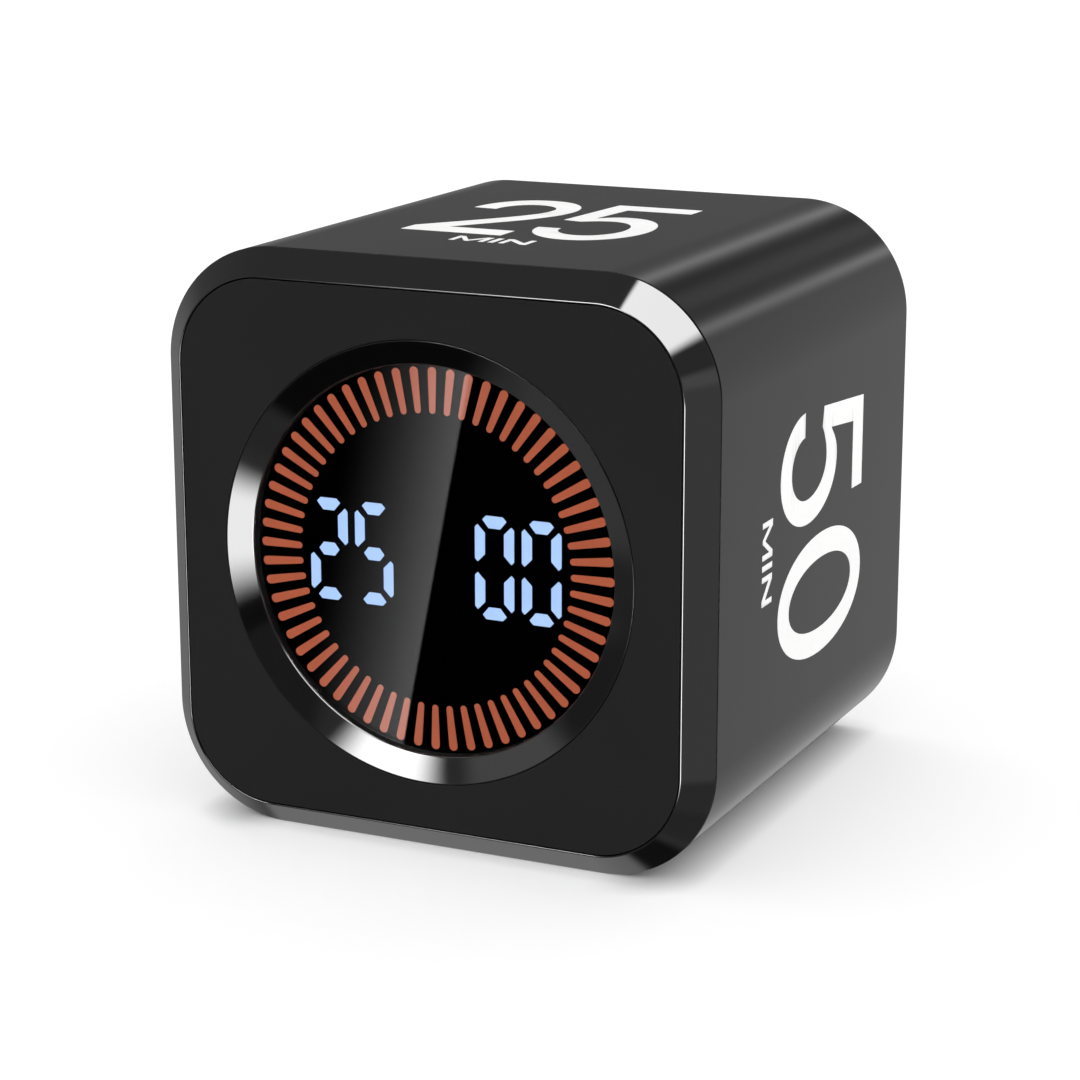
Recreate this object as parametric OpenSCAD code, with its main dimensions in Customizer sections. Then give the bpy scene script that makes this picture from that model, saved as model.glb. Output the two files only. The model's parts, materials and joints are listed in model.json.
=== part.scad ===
// Cube countdown timer with a round front display.
// Millimetres. X runs to the right seen from the front, Y runs to the rear and Z up.
// The origin is the middle of the bottom face. Depths are counted from the front face.

/* [Body] */
// Width across the left and right faces
body_w = 60; // [58:0.5:66]
// Height from the bottom face to the top face
body_h = 60; // [58:0.5:66]
// Depth from the front face to the rear face
body_d = 57.5; // [56:0.5:66]
// Radius of the four long corners
corner_r = 12; // [10.5:0.5:14]
// Wall of the metal sleeve
sleeve_wall = 1.8; // [1.5:0.1:2.1]
// Wall of the sleeve where it laps the rear cover
rim_wall = 1; // [0.8:0.1:1.3]
// Bevel on the sleeve's rear edge
rim_bevel = 0.2; // [0.1:0.05:0.4]

/* [Front bezel] */
// Bevel around the front
bezel_bevel = 2.6; // [2.2:0.1:2.9]
// Straight band between the bevel and the seam
bezel_band = 0.1; // [0.05:0.05:0.3]
// Flat lip between the bevel and the plate pocket
bezel_lip = 0.12; // [0.08:0.02:0.3]
// Width of the seam groove between bezel and sleeve
seam_w = 0.25; // [0.1:0.05:0.3]
// Depth of the seam groove
seam_d = 0.3; // [0.2:0.1:0.6]
// Length of the spigot inside the sleeve
spigot_len = 5; // [4:0.5:7]
// Wall of the spigot
spigot_wall = 1.8; // [1.5:0.1:2]
// Width of the ledge that carries the front plate
ledge_w = 1.7; // [1.3:0.1:2]
// Thickness of the web behind the dial ring
web_t = 1.6; // [1.3:0.1:2]

/* [Front plate and dial ring] */
// Thickness of the front plate
plate_t = 1.6; // [1.4:0.1:1.8]
// Radius of the round window
window_r = 19.86; // [18:0.02:20.6]
// Width of the dial ring from the window to the front plate
ring_w = 2.54; // [2.2:0.02:2.8]
// Flat edge of the dial ring around its cone
dial_land = 0.1; // [0.06:0.02:0.3]
// Width of the flange that holds the ring behind the plate
flange_w = 1.6; // [1.2:0.1:1.8]
// Width of the web's seat behind the dial ring's inner edge
ring_seat = 1.2; // [0.8:0.1:1.6]
// Depth of the ring's cone
cone_d = 1.1; // [0.8:0.1:1.4]
// Fillet between the ring's cone and its wall
cone_fillet = 0.2; // [0.1:0.05:0.3]

/* [Display] */
// Depth of the lens's face below the front plate
lens_sink = 1.6; // [1.5:0.1:2]
// Thickness of the lens
lens_t = 0.8; // [0.6:0.1:1.2]
// Thickness of the mask behind the lens
mask_t = 0.6; // [0.5:0.1:1]
// Thickness of the diffuser sheet
diffuser_t = 0.2; // [0.1:0.1:0.4]
// Height of the light shroud's cells
shroud_h = 3.3; // [2.6:0.1:4]
// Thickness of the display board
board_t = 1.2; // [1:0.1:1.6]
// Number of light bars around the display
bar_count = 60; // [30:2:60]
// Distance from the window's edge to the light bars
bar_margin = 0.36; // [0.3:0.02:0.8]
// Length of a light bar
bar_len = 4.65; // [3.5:0.05:4.8]
// Width of a light bar at its outer end
bar_out_w = 0.92; // [0.8:0.02:1.2]
// Width of a light bar at its inner end
bar_in_w = 0.68; // [0.6:0.02:0.9]
// Height of a digit
digit_h = 10.5; // [9:0.5:12]
// Width of a digit
digit_w = 4.26; // [3.8:0.02:4.6]
// Distance between the two digits of a pair
digit_pitch = 5.08; // [4.8:0.02:5.4]
// Gap between the digits' corners and the light bars
digit_gap = 0.02; // [0.02:0.02:0.6]
// Width of an upright segment
segment_w = 1.1; // [0.9:0.05:1.3]

/* [Chassis] */
// Radius of a post
post_r = 3; // [2.6:0.1:3.2]
// Depth of the battery shelf
shelf_depth = 22; // [16:0.5:24]
// Thickness of the shelf and the front frame
shelf_t = 1.6; // [1.2:0.1:2.4]
// Height of the fence around the battery
fence_h = 4; // [2:0.5:4.5]

/* [Battery] */
// Width of the battery
battery_w = 34; // [30:1:35]
// Height of the battery
battery_h = 32; // [28:1:34]
// Thickness of the battery
battery_t = 9.5; // [7:0.5:12]
// Thickness of the foam pad under the battery
pad_t = 0.6; // [0.4:0.1:1.2]
// Radius of an insulated lead
lead_r = 0.6; // [0.4:0.1:0.8]

/* [Rear cover] */
// Thickness of the rear cover
cover_t = 2; // [1.8:0.1:2.6]
// Distance from the rear cover to the main board
board_gap = 4.6; // [4.4:0.1:6]
// Thickness of the main board
main_t = 1.4; // [1:0.1:1.8]
// Width and height of the main board
main_w = 50; // [48:0.5:52]
// Width of the main board's arms
main_arm = 32; // [31:0.5:33]
// Sideways distance of the board screws from the middle
boss_x = 21.5; // [20.5:0.5:22]
// Height of the board screws above and below the middle
boss_y = 12; // [10:0.5:13]
// Radius of the board bosses
boss_r = 2.2; // [1.8:0.1:2.4]

/* [Buttons and switch] */
// Radius of a button
button_r = 3.5; // [3:0.1:4]
// Distance between the buttons
button_pitch = 12; // [11:0.5:13]
// Height of the buttons above the middle
button_y = 12; // [11:0.5:14]
// Depth of the buttons and the switch below the rear face
control_sink = 0.3; // [0.2:0.05:0.5]
// Width of a button's flange
button_flange_w = 0.8; // [0.6:0.1:1]
// Travel of a button
button_travel = 0.5; // [0.3:0.05:0.6]
// Height of a tact switch on the board
tact_h = 2.4; // [2:0.1:2.6]
// Width of a tact switch
tact_w = 4.5; // [4:0.1:6]
// Travel of the sound switch to each side
switch_travel = 2; // [1.5:0.1:2.4]
// Width of the sound switch's cap
cap_w = 5; // [4:0.2:6]
// Height of the sound switch's cap
cap_h = 3; // [2.6:0.1:3.6]
// Sideways place of the sound switch
switch_x = -10.5; // [-11:0.25:-10]
// Height of the sound switch above the middle
switch_y = -4; // [-6:0.5:-2]

/* [Speaker] */
// Radius of the speaker
speaker_r = 8; // [7:0.25:8.5]
// Height of the speaker's basket
speaker_h = 2.8; // [2.4:0.1:3]
// Sideways place of the speaker
speaker_x = 10; // [9.5:0.25:10.5]
// Height of the speaker above the middle
speaker_y = -5; // [-5.5:0.25:-4.5]
// Radius of a sound hole
sound_hole_r = 0.6; // [0.4:0.05:0.8]
// Distance between the rings of sound holes
sound_ring_pitch = 2; // [1.8:0.1:2.2]

/* [Charging socket] */
// Width of the charging socket
socket_w = 8.94; // [8.94:0.02:9.2]
// Height of the charging socket
socket_h = 3.26; // [3.26:0.02:3.4]
// Height of the charging socket above the middle
socket_y = -19; // [-20:0.5:-18]

/* [Vibration motor] */
// Radius of the motor can
motor_r = 3; // [2.5:0.1:3.2]
// Length of the motor can
motor_len = 10; // [8:0.5:11]
// Radius of the motor shaft
shaft_r = 0.4; // [0.3:0.05:0.5]
// Radius of the eccentric weight
weight_r = 2.7; // [2:0.1:2.8]
// Length of the eccentric weight
weight_len = 3.5; // [2.5:0.25:4]
// Height of the motor above the middle
motor_y = -17; // [-19:0.5:-14]

/* [Clearances] */
// Gap between the front plate and its pocket
plate_gap = 0.08; // [0.04:0.02:0.2]
// Gap around pieces that slide together in assembly
fit_gap = 0.1; // [0.05:0.05:0.2]
// Gap around the buttons and the switch cap
slide_gap = 0.1; // [0.08:0.02:0.2]
// Gap between a button's flange and the rear cover
rest_gap = 0.05; // [0.03:0.01:0.1]
// Running gap around the motor shaft
shaft_gap = 0.05; // [0.02:0.01:0.08]
// Gap around a screw shank
shank_gap = 0.03; // [0.02:0.01:0.06]

/* [Hidden] */
$fn = 96;

mid_z = body_h / 2;
front_y = -body_d / 2;

// Front stack, as depths from the front face
band_back = bezel_bevel + bezel_band;
sleeve_front = band_back + seam_w;
lens_back = lens_sink + lens_t;
ring_back = lens_back + mask_t;
web_back = ring_back + web_t;
spigot_back = sleeve_front + spigot_len;
shroud_front = ring_back + diffuser_t;
board_front = shroud_front + shroud_h;
board_back = board_front + board_t;

// Outlines of the front stack
pocket_inset = bezel_bevel + bezel_lip;
spigot_inset = sleeve_wall + fit_gap;
bore_inset = spigot_inset + spigot_wall;
dial_r = window_r + ring_w;
flange_r = dial_r + flange_w;
web_r = window_r + ring_seat;
shroud_r = web_r - fit_gap;

// Rear stack
cover_front = body_d - cover_t;
main_back = cover_front - board_gap;
main_front = main_back - main_t;
control_face = body_d - control_sink;

// Fasteners
shank_r = 0.85;
head_r = 1.8;
head_h = 1;
thread_r = shank_r + shank_gap;
screw_tip_gap = 1;
display_screw_r = web_r + head_r + fit_gap;
board_r = display_screw_r + head_r + fit_gap;
nest = (corner_r - bore_inset - post_r - fit_gap) / sqrt(2);
post_x = body_w / 2 - corner_r + nest;
post_y = body_h / 2 - corner_r + nest;
thread_depth = 8;
cover_head_sink = 0.2;
head_gap = 0.2;
cover_head_seat = body_d - cover_head_sink - head_h;
boss_thread = 3.6;
boss_tip_gap = 0.3;
web_tip_gap = 0.4;

// Display pieces
led_t = 0.6;
led_long = 1.6;
led_short = 0.8;
digit_led_long = 1;
digit_led_short = 0.5;
bar_out_r = window_r - bar_margin;
bar_in_r = bar_out_r - bar_len;
cell_w = bar_out_w + 0.15;
digit_reach = sqrt(pow(bar_in_r, 2) - pow(digit_h / 2, 2)) - digit_gap;
pair_x = digit_reach - (digit_pitch + digit_w) / 2;
driver_w = 6;
driver_h = 8;
driver_t = 1.2;
driver_x = 11;
segment_tip = 0.3;
flat_bar_len = 2.62;
flat_bar_in = 1.25;
flat_bar_out = 1.8;
flat_bar_t = 1.25;
flat_bar_crest = 0.43;
middle_bar_len = 2.3;
middle_bar_t = 1.33;
upright_top = digit_h / 2 - 0.94;
upright_foot = 0.54;
LIT = [
    [true, true, false, true, true, false, true],
    [true, false, true, true, false, true, true],
    [true, true, true, true, true, true, false],
    [true, true, true, true, true, true, false],
];
UNLIT = [for (digit = LIT) [for (on = digit) !on]];
ALL_ON = [for (digit = LIT) [for (on = digit) true]];
DIGIT_X = [for (side = [-1, 1], place = [-1, 1]) side * pair_x + place * digit_pitch / 2];

// Battery, leads and cables
shelf_back = shelf_depth + shelf_t;
frame_gap = 0.6;
frame_depth = spigot_back + frame_gap;
frame_hole_gap = 0.2;
chassis_inset = sleeve_wall + 0.3;
pad_margin = 2;
battery_corner_r = 1.5;
battery_front = shelf_back + pad_t;
fence_gap = 0.2;
fence_t = 1.2;
plug_x = 11;
plug_rise = 3;
plug_y = battery_h / 2 + plug_rise;
plug_w = 6;
plug_h = 4;
plug_t = 3;
lead_pitch = 2;
lead_start = shelf_back + fence_h + 2 * lead_r;
ribbon_w = 8;
ribbon_t = 0.3;
ribbon_rise = 6.4;
ribbon_high_y = battery_h / 2 + ribbon_rise;
ribbon_low_y = 15;
ribbon_main_y = 20.5;
ribbon_socket_w = 10;
ribbon_socket_h = 3;
ribbon_socket_t = 1.5;
ribbon_bend = 3;
slot_gap = 1;

// Parts on the main board
controller_w = 7;
controller_t = 1.2;
controller_y = 4;
sensor_w = 3;
sensor_t = 0.9;
sensor_x = -9;
coil_w = 4;
coil_t = 2;
charger_h = 3;
charger_t = 1;
power_x = 10;
charger_y = -2;
coil_y = -8;
regulator_w = 3.2;
regulator_h = 1.5;
regulator_y = -4;
flash_x = -7;

// Buttons and switch
stem_r = 1.4;
plunger_r = 1;
plunger_reach = 0.8;
plunger_sunk = 0.4;
end_gap = 0.2;
button_hole_r = button_r + slide_gap;
button_bevel = 0.3;
flange_back = cover_front - rest_gap;
button_flange_t = 0.7;
tact_back = main_back + tact_h;
plunger_back = tact_back + plunger_reach;
switch_frame_w = 8.6;
switch_frame_h = 4.4;
switch_frame_t = 2.8;
lever_w = 1.6;
lever_foot = 0.8;
cap_flange_t = 0.8;
cap_lap = 0.5;
cap_flange_side = 0.8;
cap_flange_w = cap_w + 4 * switch_travel + 2 * cap_lap;
cap_flange_h = cap_h + 2 * cap_flange_side;
cap_flange_back = cover_front - slide_gap;
lever_sunk = 0.3;
lever_back = cap_flange_back - lever_sunk;
rib_count = 3;
rib_pitch = 1.2;
rib_r = 0.25;

// Speaker, socket and motor
speaker_wall = 0.7;
mesh_t = 0.2;
speaker_back = cover_front - mesh_t;
speaker_front = speaker_back - speaker_h;
magnet_t = 1;
magnet_r = speaker_r * 0.6;
collar_r = speaker_r + fit_gap;
collar_t = 0.8;
mesh_margin = 0.2;
collar_h = 1.2;
wire_r = 0.3;
wire_side = 1;
wire_reach = 1;
socket_shell = 0.3;
socket_sink = 0.2;
socket_face = body_d - socket_sink;
socket_floor = 1;
tongue_w = 6.7;
tongue_t = 0.7;
tongue_short = 0.5;
boot_floor = 0.5;
motor_axis = main_front - motor_r - boot_floor;
motor_start = -12;
motor_end = motor_start + motor_len;
boot_wall = 0.7;
boot_start = motor_start + 1.5;
boot_len = motor_len - 3.5;
weight_gap = 0.6;
weight_start = motor_end + weight_gap;
shaft_sunk = 3;
shaft_end_gap = 0.5;
weight_web = 0.5;

// A strip of even thickness along a path of points
function unit(v) = v / norm(v);
function left_of(v) = [-v.y, v.x];
function path_normal(path, i) =
    let (
        before = unit(path[max(i, 1)] - path[max(i, 1) - 1]),
        last = len(path) - 1,
        after = unit(path[min(i, last - 1) + 1] - path[min(i, last - 1)]),
        middle = unit(left_of(before) + left_of(after))
    )
    middle / (middle * left_of(before));
function strip(path, t) = [
    for (i = [0:1:len(path) - 1]) path[i] + path_normal(path, i) * t / 2,
    for (i = [len(path) - 1:-1:0]) path[i] - path_normal(path, i) * t / 2,
];

// Placing: children are drawn in X and Y as seen from the front, and reach between two depths
module slab(front, back) {
    translate([0, front_y + back, mid_z])
        rotate([90, 0, 0])
            linear_extrude(back - front)
                children();
}

// Children stand with their own Z along the depth, and Y pointing down
module facing_rear(depth) {
    translate([0, front_y + depth, mid_z])
        rotate([-90, 0, 0])
            children();
}

// A turned shape about a front-to-rear axis, from a profile of radius and depth
module turned(x = 0, y = 0) {
    translate([x, front_y, mid_z + y])
        rotate([-90, 0, 0])
            rotate_extrude()
                children();
}

module disc(front, back, r, x = 0, y = 0) {
    slab(front, back)
        translate([x, y])
            circle(r);
}

module block(front, back, w, h, x = 0, y = 0) {
    slab(front, back)
        translate([x, y])
            square([w, h], center = true);
}

// Flat shapes
module rounded(w, h, r) {
    square([w - 2 * r, h], center = true);
    square([w, h - 2 * r], center = true);
    for (x = [-1, 1], y = [-1, 1])
        translate([x * (w / 2 - r), y * (h / 2 - r)])
            circle(r);
}

module body_outline(inset) {
    rounded(body_w - 2 * inset, body_h - 2 * inset, corner_r - inset);
}

module at_corners(x, y) {
    for (sx = [-1, 1], sy = [-1, 1])
        translate([sx * x, sy * y])
            children();
}

module light_bar() {
    out_x = bar_out_r - bar_out_w / 2;
    in_x = bar_in_r + bar_in_w / 2;
    translate([out_x, 0])
        circle(bar_out_w / 2);
    translate([in_x, 0])
        circle(bar_in_w / 2);
    polygon([
        [in_x, -bar_in_w / 2], [out_x, -bar_out_w / 2],
        [out_x, bar_out_w / 2], [in_x, bar_in_w / 2],
    ]);
}

module around_display() {
    for (i = [0:bar_count - 1])
        rotate(i * 360 / bar_count)
            children();
}

module flat_segment() {
    outer = digit_h / 2;
    polygon([
        [-flat_bar_len / 2, outer - flat_bar_crest], [-flat_bar_out / 2, outer],
        [flat_bar_out / 2, outer], [flat_bar_len / 2, outer - flat_bar_crest],
        [flat_bar_in / 2, outer - flat_bar_t], [-flat_bar_in / 2, outer - flat_bar_t],
    ]);
}

module middle_segment() {
    polygon([
        [-middle_bar_len / 2, 0], [-flat_bar_in / 2, middle_bar_t / 2],
        [flat_bar_in / 2, middle_bar_t / 2], [middle_bar_len / 2, 0],
        [flat_bar_in / 2, -middle_bar_t / 2], [-flat_bar_in / 2, -middle_bar_t / 2],
    ]);
}

module upright_segment() {
    outer = digit_w / 2;
    inner = outer - segment_w;
    tip = outer - segment_tip;
    inner_cut = segment_w - segment_tip;
    polygon([
        [outer, upright_foot + segment_tip], [outer, upright_top - segment_tip],
        [tip, upright_top], [inner, upright_top - inner_cut],
        [inner, upright_foot + inner_cut], [tip, upright_foot],
    ]);
}

// Segments in the order top, upper right, lower right, bottom, lower left, upper left, middle
module segment(place) {
    if (place == 0) flat_segment();
    if (place == 1) upright_segment();
    if (place == 2) mirror([0, 1]) upright_segment();
    if (place == 3) mirror([0, 1]) flat_segment();
    if (place == 4) rotate(180) upright_segment();
    if (place == 5) mirror([1, 0]) upright_segment();
    if (place == 6) middle_segment();
}

module digits(pattern) {
    for (digit = [0:3], place = [0:6])
        if (pattern[digit][place])
            translate([DIGIT_X[digit], 0])
                segment(place);
}

module ring_of_screws(r) {
    for (turn = [0, 90, 180, 270])
        rotate(turn)
            translate([r, 0])
                children();
}

// A pan-head screw with its shank towards the front or the rear
module screw(seat, tip, x, y) {
    toward = sign(tip - seat);
    crown = seat - toward * head_h;
    difference() {
        disc(min(seat, crown), max(seat, crown), head_r, x, y);
        for (turn = [0, 90])
            slab(min(crown, crown + toward * head_h * 0.6), max(crown, crown + toward * head_h * 0.6))
                translate([x, y])
                    rotate(turn)
                        square([head_r * 1.2, head_r * 0.25], center = true);
    }
    disc(min(seat, tip), max(seat, tip), shank_r, x, y);
}

// Body
module bevel_ring(bevel) {
    r = corner_r;
    rotate([90, 0, 90])
        linear_extrude(body_w - 2 * r, center = true)
            polygon([
                [-body_h / 2 + bevel, 0], [body_h / 2 - bevel, 0],
                [body_h / 2, bevel], [-body_h / 2, bevel],
            ]);
    rotate([90, 0, 0])
        linear_extrude(body_h - 2 * r, center = true)
            polygon([
                [-body_w / 2 + bevel, 0], [body_w / 2 - bevel, 0],
                [body_w / 2, bevel], [-body_w / 2, bevel],
            ]);
    for (x = [-1, 1], y = [-1, 1])
        translate([x * (body_w / 2 - r), y * (body_h / 2 - r), 0])
            cylinder(h = bevel, r1 = r - bevel, r2 = r);
}

module body_sleeve() {
    color("#3b3b3d")
        difference() {
            union() {
                slab(sleeve_front, body_d - rim_bevel)
                    body_outline(0);
                facing_rear(body_d)
                    mirror([0, 0, 1])
                        bevel_ring(rim_bevel);
            }
            slab(sleeve_front - 1, body_d + 1)
                body_outline(sleeve_wall);
            slab(cover_front, body_d + 1)
                body_outline(rim_wall);
        }
}

module front_bezel() {
    color("#1d1d1f")
        difference() {
            union() {
                facing_rear(0)
                    bevel_ring(bezel_bevel);
                slab(bezel_bevel, band_back)
                    body_outline(0);
                slab(band_back, sleeve_front)
                    body_outline(seam_d);
                slab(sleeve_front, spigot_back)
                    body_outline(spigot_inset);
            }
            slab(-1, plate_t)
                body_outline(pocket_inset);
            slab(plate_t, ring_back)
                body_outline(pocket_inset + ledge_w);
            slab(web_back, spigot_back + 1)
                body_outline(bore_inset);
            disc(plate_t, ring_back, flange_r + fit_gap);
            disc(ring_back - 1, web_back + 1, web_r);
            disc(web_back, spigot_back + 1, board_r + fit_gap);
            slab(ring_back - 1, web_back + 1) {
                at_corners(post_x, post_y)
                    circle(thread_r);
                ring_of_screws(display_screw_r)
                    circle(thread_r);
            }
        }
}

module front_plate() {
    color("#252527")
        difference() {
            slab(0, plate_t)
                body_outline(pocket_inset + plate_gap);
            disc(-1, plate_t + 1, dial_r + plate_gap);
        }
}

module dial_ring() {
    slope = [dial_r - dial_land - window_r, cone_d];
    along = unit(slope);
    bend = atan2(slope.x, slope.y);
    run = cone_fillet * tan(bend / 2);
    centre = [window_r + cone_fillet, cone_d + run];
    color("#2a2a2c")
        turned()
            difference() {
                polygon([
                    [window_r, cone_d + run], [window_r, ring_back], [flange_r, ring_back],
                    [flange_r, plate_t], [dial_r, plate_t], [dial_r, 0],
                    [dial_r - dial_land, 0],
                    [window_r + along.x * run, cone_d - along.y * run],
                ]);
                difference() {
                    polygon([
                        [window_r - 1, cone_d + run], [window_r, cone_d + run],
                        centre, [window_r + along.x * run, cone_d - along.y * run],
                        [window_r - 1, cone_d - along.y * run],
                    ]);
                    translate(centre)
                        circle(cone_fillet);
                }
            }
}

module front_lens() {
    color("#101014", 0.5)
        disc(lens_sink, lens_back, window_r - fit_gap / 2);
}

module display_mask() {
    color("#050506")
        difference() {
            disc(lens_back, ring_back, window_r - fit_gap / 2);
            slab(lens_back - 1, ring_back + 1) {
                around_display()
                    light_bar();
                digits(ALL_ON);
            }
        }
}

module light_bars() {
    color("#c0603f")
        slab(lens_back, ring_back)
            around_display()
                light_bar();
}

module digits_lit() {
    color("#aaccff")
        slab(lens_back, ring_back)
            digits(LIT);
}

module digits_unlit() {
    color("#0a0a0c")
        slab(lens_back, ring_back)
            digits(UNLIT);
}

module diffuser_sheet() {
    color("#f0f0ee")
        disc(ring_back, shroud_front, shroud_r);
}

module light_shroud() {
    color("#e6e6e2")
        difference() {
            union() {
                disc(shroud_front, web_back, shroud_r);
                disc(web_back, board_front, board_r);
            }
            slab(shroud_front - 1, board_front + 1) {
                around_display()
                    translate([bar_in_r - fit_gap, -cell_w / 2])
                        square([bar_len + 2 * fit_gap, cell_w]);
                digits(ALL_ON);
                ring_of_screws(display_screw_r)
                    circle(thread_r);
            }
        }
}

module bar_leds() {
    color("#f2c9a0")
        slab(board_front - led_t, board_front)
            around_display()
                translate([(bar_in_r + bar_out_r) / 2, 0])
                    square([led_long, led_short], center = true);
}

module digit_leds() {
    outer = digit_h / 2 - flat_bar_t / 2;
    side = (digit_w - segment_w) / 2;
    half = (upright_top + upright_foot) / 2;
    color("#dfe8f4")
        slab(board_front - led_t, board_front)
            for (x = DIGIT_X) {
                for (y = [-outer, 0, outer])
                    translate([x, y])
                        square([digit_led_long, digit_led_short], center = true);
                for (sx = [-1, 1], sy = [-1, 1])
                    translate([x + sx * side, sy * half])
                        square([digit_led_short, digit_led_long], center = true);
            }
}

module display_board() {
    color("#14502f")
        difference() {
            disc(board_front, board_back, board_r);
            slab(board_front - 1, board_back + 1)
                ring_of_screws(display_screw_r)
                    circle(thread_r);
        }
}

module display_drivers() {
    color("#1a1a1c")
        for (side = [-1, 1])
            block(board_back, board_back + driver_t, driver_w, driver_h, side * driver_x, 0);
}

module display_screws() {
    color("#9a9ca0")
        for (place = [[1, 0], [0, 1], [-1, 0], [0, -1]] * display_screw_r)
            screw(board_back, ring_back + web_tip_gap, place.x, place.y);
}

// Chassis
module inner_chassis() {
    color("#57585b")
        difference() {
            union() {
                slab(web_back, cover_front)
                    at_corners(post_x, post_y)
                        circle(post_r);
                slab(frame_depth, frame_depth + shelf_t)
                    difference() {
                        body_outline(chassis_inset);
                        circle(board_r + frame_hole_gap);
                    }
                slab(shelf_depth, shelf_back)
                    body_outline(chassis_inset);
                slab(shelf_back, shelf_back + fence_h)
                    difference() {
                        square([battery_w, battery_h] + [1, 1] * 2 * (fence_gap + fence_t), center = true);
                        square([battery_w, battery_h] + [1, 1] * 2 * fence_gap, center = true);
                    }
            }
            slab(shelf_depth - 1, shelf_back + 1)
                translate([0, ribbon_high_y])
                    square([ribbon_w, ribbon_t] + [1, 1] * 2 * slot_gap, center = true);
            slab(web_back - 1, web_back + thread_depth)
                at_corners(post_x, post_y)
                    circle(thread_r);
            slab(cover_front - thread_depth, cover_front + 1)
                at_corners(post_x, post_y)
                    circle(thread_r);
        }
}

module chassis_screws() {
    color("#9a9ca0")
        for (sx = [-1, 1], sy = [-1, 1])
            screw(ring_back, web_back + thread_depth - screw_tip_gap, sx * post_x, sy * post_y);
}

// Battery
module battery_pad() {
    color("#7b7c80")
        block(shelf_back, battery_front, battery_w - 2 * pad_margin, battery_h - 2 * pad_margin);
}

module battery() {
    color("#b9bcc2")
        slab(battery_front, battery_front + battery_t)
            rounded(battery_w, battery_h, battery_corner_r);
}

module battery_lead(x) {
    high_y = plug_y;
    translate([x, front_y + lead_start, mid_z + battery_h / 2])
        cylinder(h = high_y - battery_h / 2, r = lead_r);
    translate([x, front_y + lead_start, mid_z + high_y])
        sphere(lead_r);
    disc(lead_start, main_front - plug_t, lead_r, x, high_y);
}

module battery_lead_red() {
    color("#b3261e")
        battery_lead(plug_x - lead_pitch / 2);
}

module battery_lead_black() {
    color("#1b1b1b")
        battery_lead(plug_x + lead_pitch / 2);
}

module battery_plug() {
    color("#ece8dc")
        block(main_front - plug_t, main_front, plug_w, plug_h, plug_x, plug_y);
}

// Ribbon cable between the two boards
module ribbon_cable() {
    start = board_back + ribbon_socket_t;
    end = main_front - ribbon_socket_t;
    path = [
        [start, ribbon_low_y], [start + ribbon_bend, ribbon_low_y],
        [start + 2 * ribbon_bend, ribbon_high_y], [end - 2 * ribbon_bend, ribbon_high_y],
        [end - ribbon_bend, ribbon_main_y], [end, ribbon_main_y],
    ];
    color("#e8e4d6")
        translate([-ribbon_w / 2, front_y, mid_z])
            rotate([90, 0, 90])
                linear_extrude(ribbon_w)
                    polygon(strip(path, ribbon_t));
}

module ribbon_sockets() {
    size = [ribbon_socket_w, ribbon_socket_h];
    color("#efe9d8") {
        block(board_back, board_back + ribbon_socket_t, size.x, size.y, 0, ribbon_low_y);
        block(main_front - ribbon_socket_t, main_front, size.x, size.y, 0, ribbon_main_y);
    }
}

// Main board
module main_outline() {
    square([main_w, main_arm], center = true);
    square([main_arm, main_w], center = true);
}

module main_board() {
    color("#14502f")
        slab(main_front, main_back)
            difference() {
                main_outline();
                at_corners(boss_x, boss_y)
                    circle(thread_r);
            }
}

module controller_chip() {
    color("#1a1a1c")
        block(main_front - controller_t, main_front, controller_w, controller_w, 0, controller_y);
}

module motion_sensor() {
    color("#2a2a2c")
        block(main_front - sensor_t, main_front, sensor_w, sensor_w, sensor_x, controller_y);
}

module power_chips() {
    color("#2a2a2c") {
        block(main_front - charger_t, main_front, coil_w, charger_h, power_x, charger_y);
        block(main_front - coil_t, main_front, coil_w, coil_w, power_x, coil_y);
        block(main_front - sensor_t, main_front, regulator_w, regulator_h, 0, regulator_y);
        block(main_front - sensor_t, main_front, regulator_h, regulator_w, flash_x, regulator_y);
    }
}

module board_screws() {
    color("#9a9ca0")
        for (sx = [-1, 1], sy = [-1, 1])
            screw(main_front, main_back + boss_thread - boss_tip_gap, sx * boss_x, sy * boss_y);
}

// Rear cover
module sound_holes() {
    circle(sound_hole_r);
    for (ring = [1:3], i = [0:6 * ring - 1])
        rotate(i * 60 / ring)
            translate([ring * sound_ring_pitch, 0])
                circle(sound_hole_r);
}

module socket_outline(grow) {
    rounded(socket_w + 2 * grow, socket_h + 2 * grow, socket_h / 2 + grow - 0.01);
}

module rear_cover() {
    color("#2b2b2d")
        difference() {
            union() {
                slab(cover_front, body_d)
                    body_outline(rim_wall + fit_gap);
                slab(main_back, cover_front)
                    at_corners(boss_x, boss_y)
                        circle(boss_r);
                slab(cover_front - collar_h, cover_front)
                    translate([speaker_x, speaker_y])
                        circle(collar_r + collar_t);
            }
            disc(cover_front - collar_h - 1, cover_front, collar_r, speaker_x, speaker_y);
            slab(main_back - 1, main_back + boss_thread)
                at_corners(boss_x, boss_y)
                    circle(thread_r);
            slab(cover_front - 1, body_d + 1) {
                for (x = [-1, 0, 1])
                    translate([x * button_pitch, button_y])
                        circle(button_hole_r);
                translate([speaker_x, speaker_y])
                    sound_holes();
                translate([switch_x, switch_y])
                    square([cap_w + 2 * switch_travel, cap_h] + [1, 1] * 2 * slide_gap, center = true);
                translate([0, socket_y])
                    socket_outline(fit_gap);
                at_corners(post_x, post_y)
                    circle(thread_r);
            }
            slab(cover_head_seat, body_d + 1)
                at_corners(post_x, post_y)
                    circle(head_r + head_gap);
        }
}

module cover_screws() {
    color("#9a9ca0")
        for (sx = [-1, 1], sy = [-1, 1])
            screw(cover_head_seat, cover_front - thread_depth + screw_tip_gap, sx * post_x, sy * post_y);
}

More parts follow.
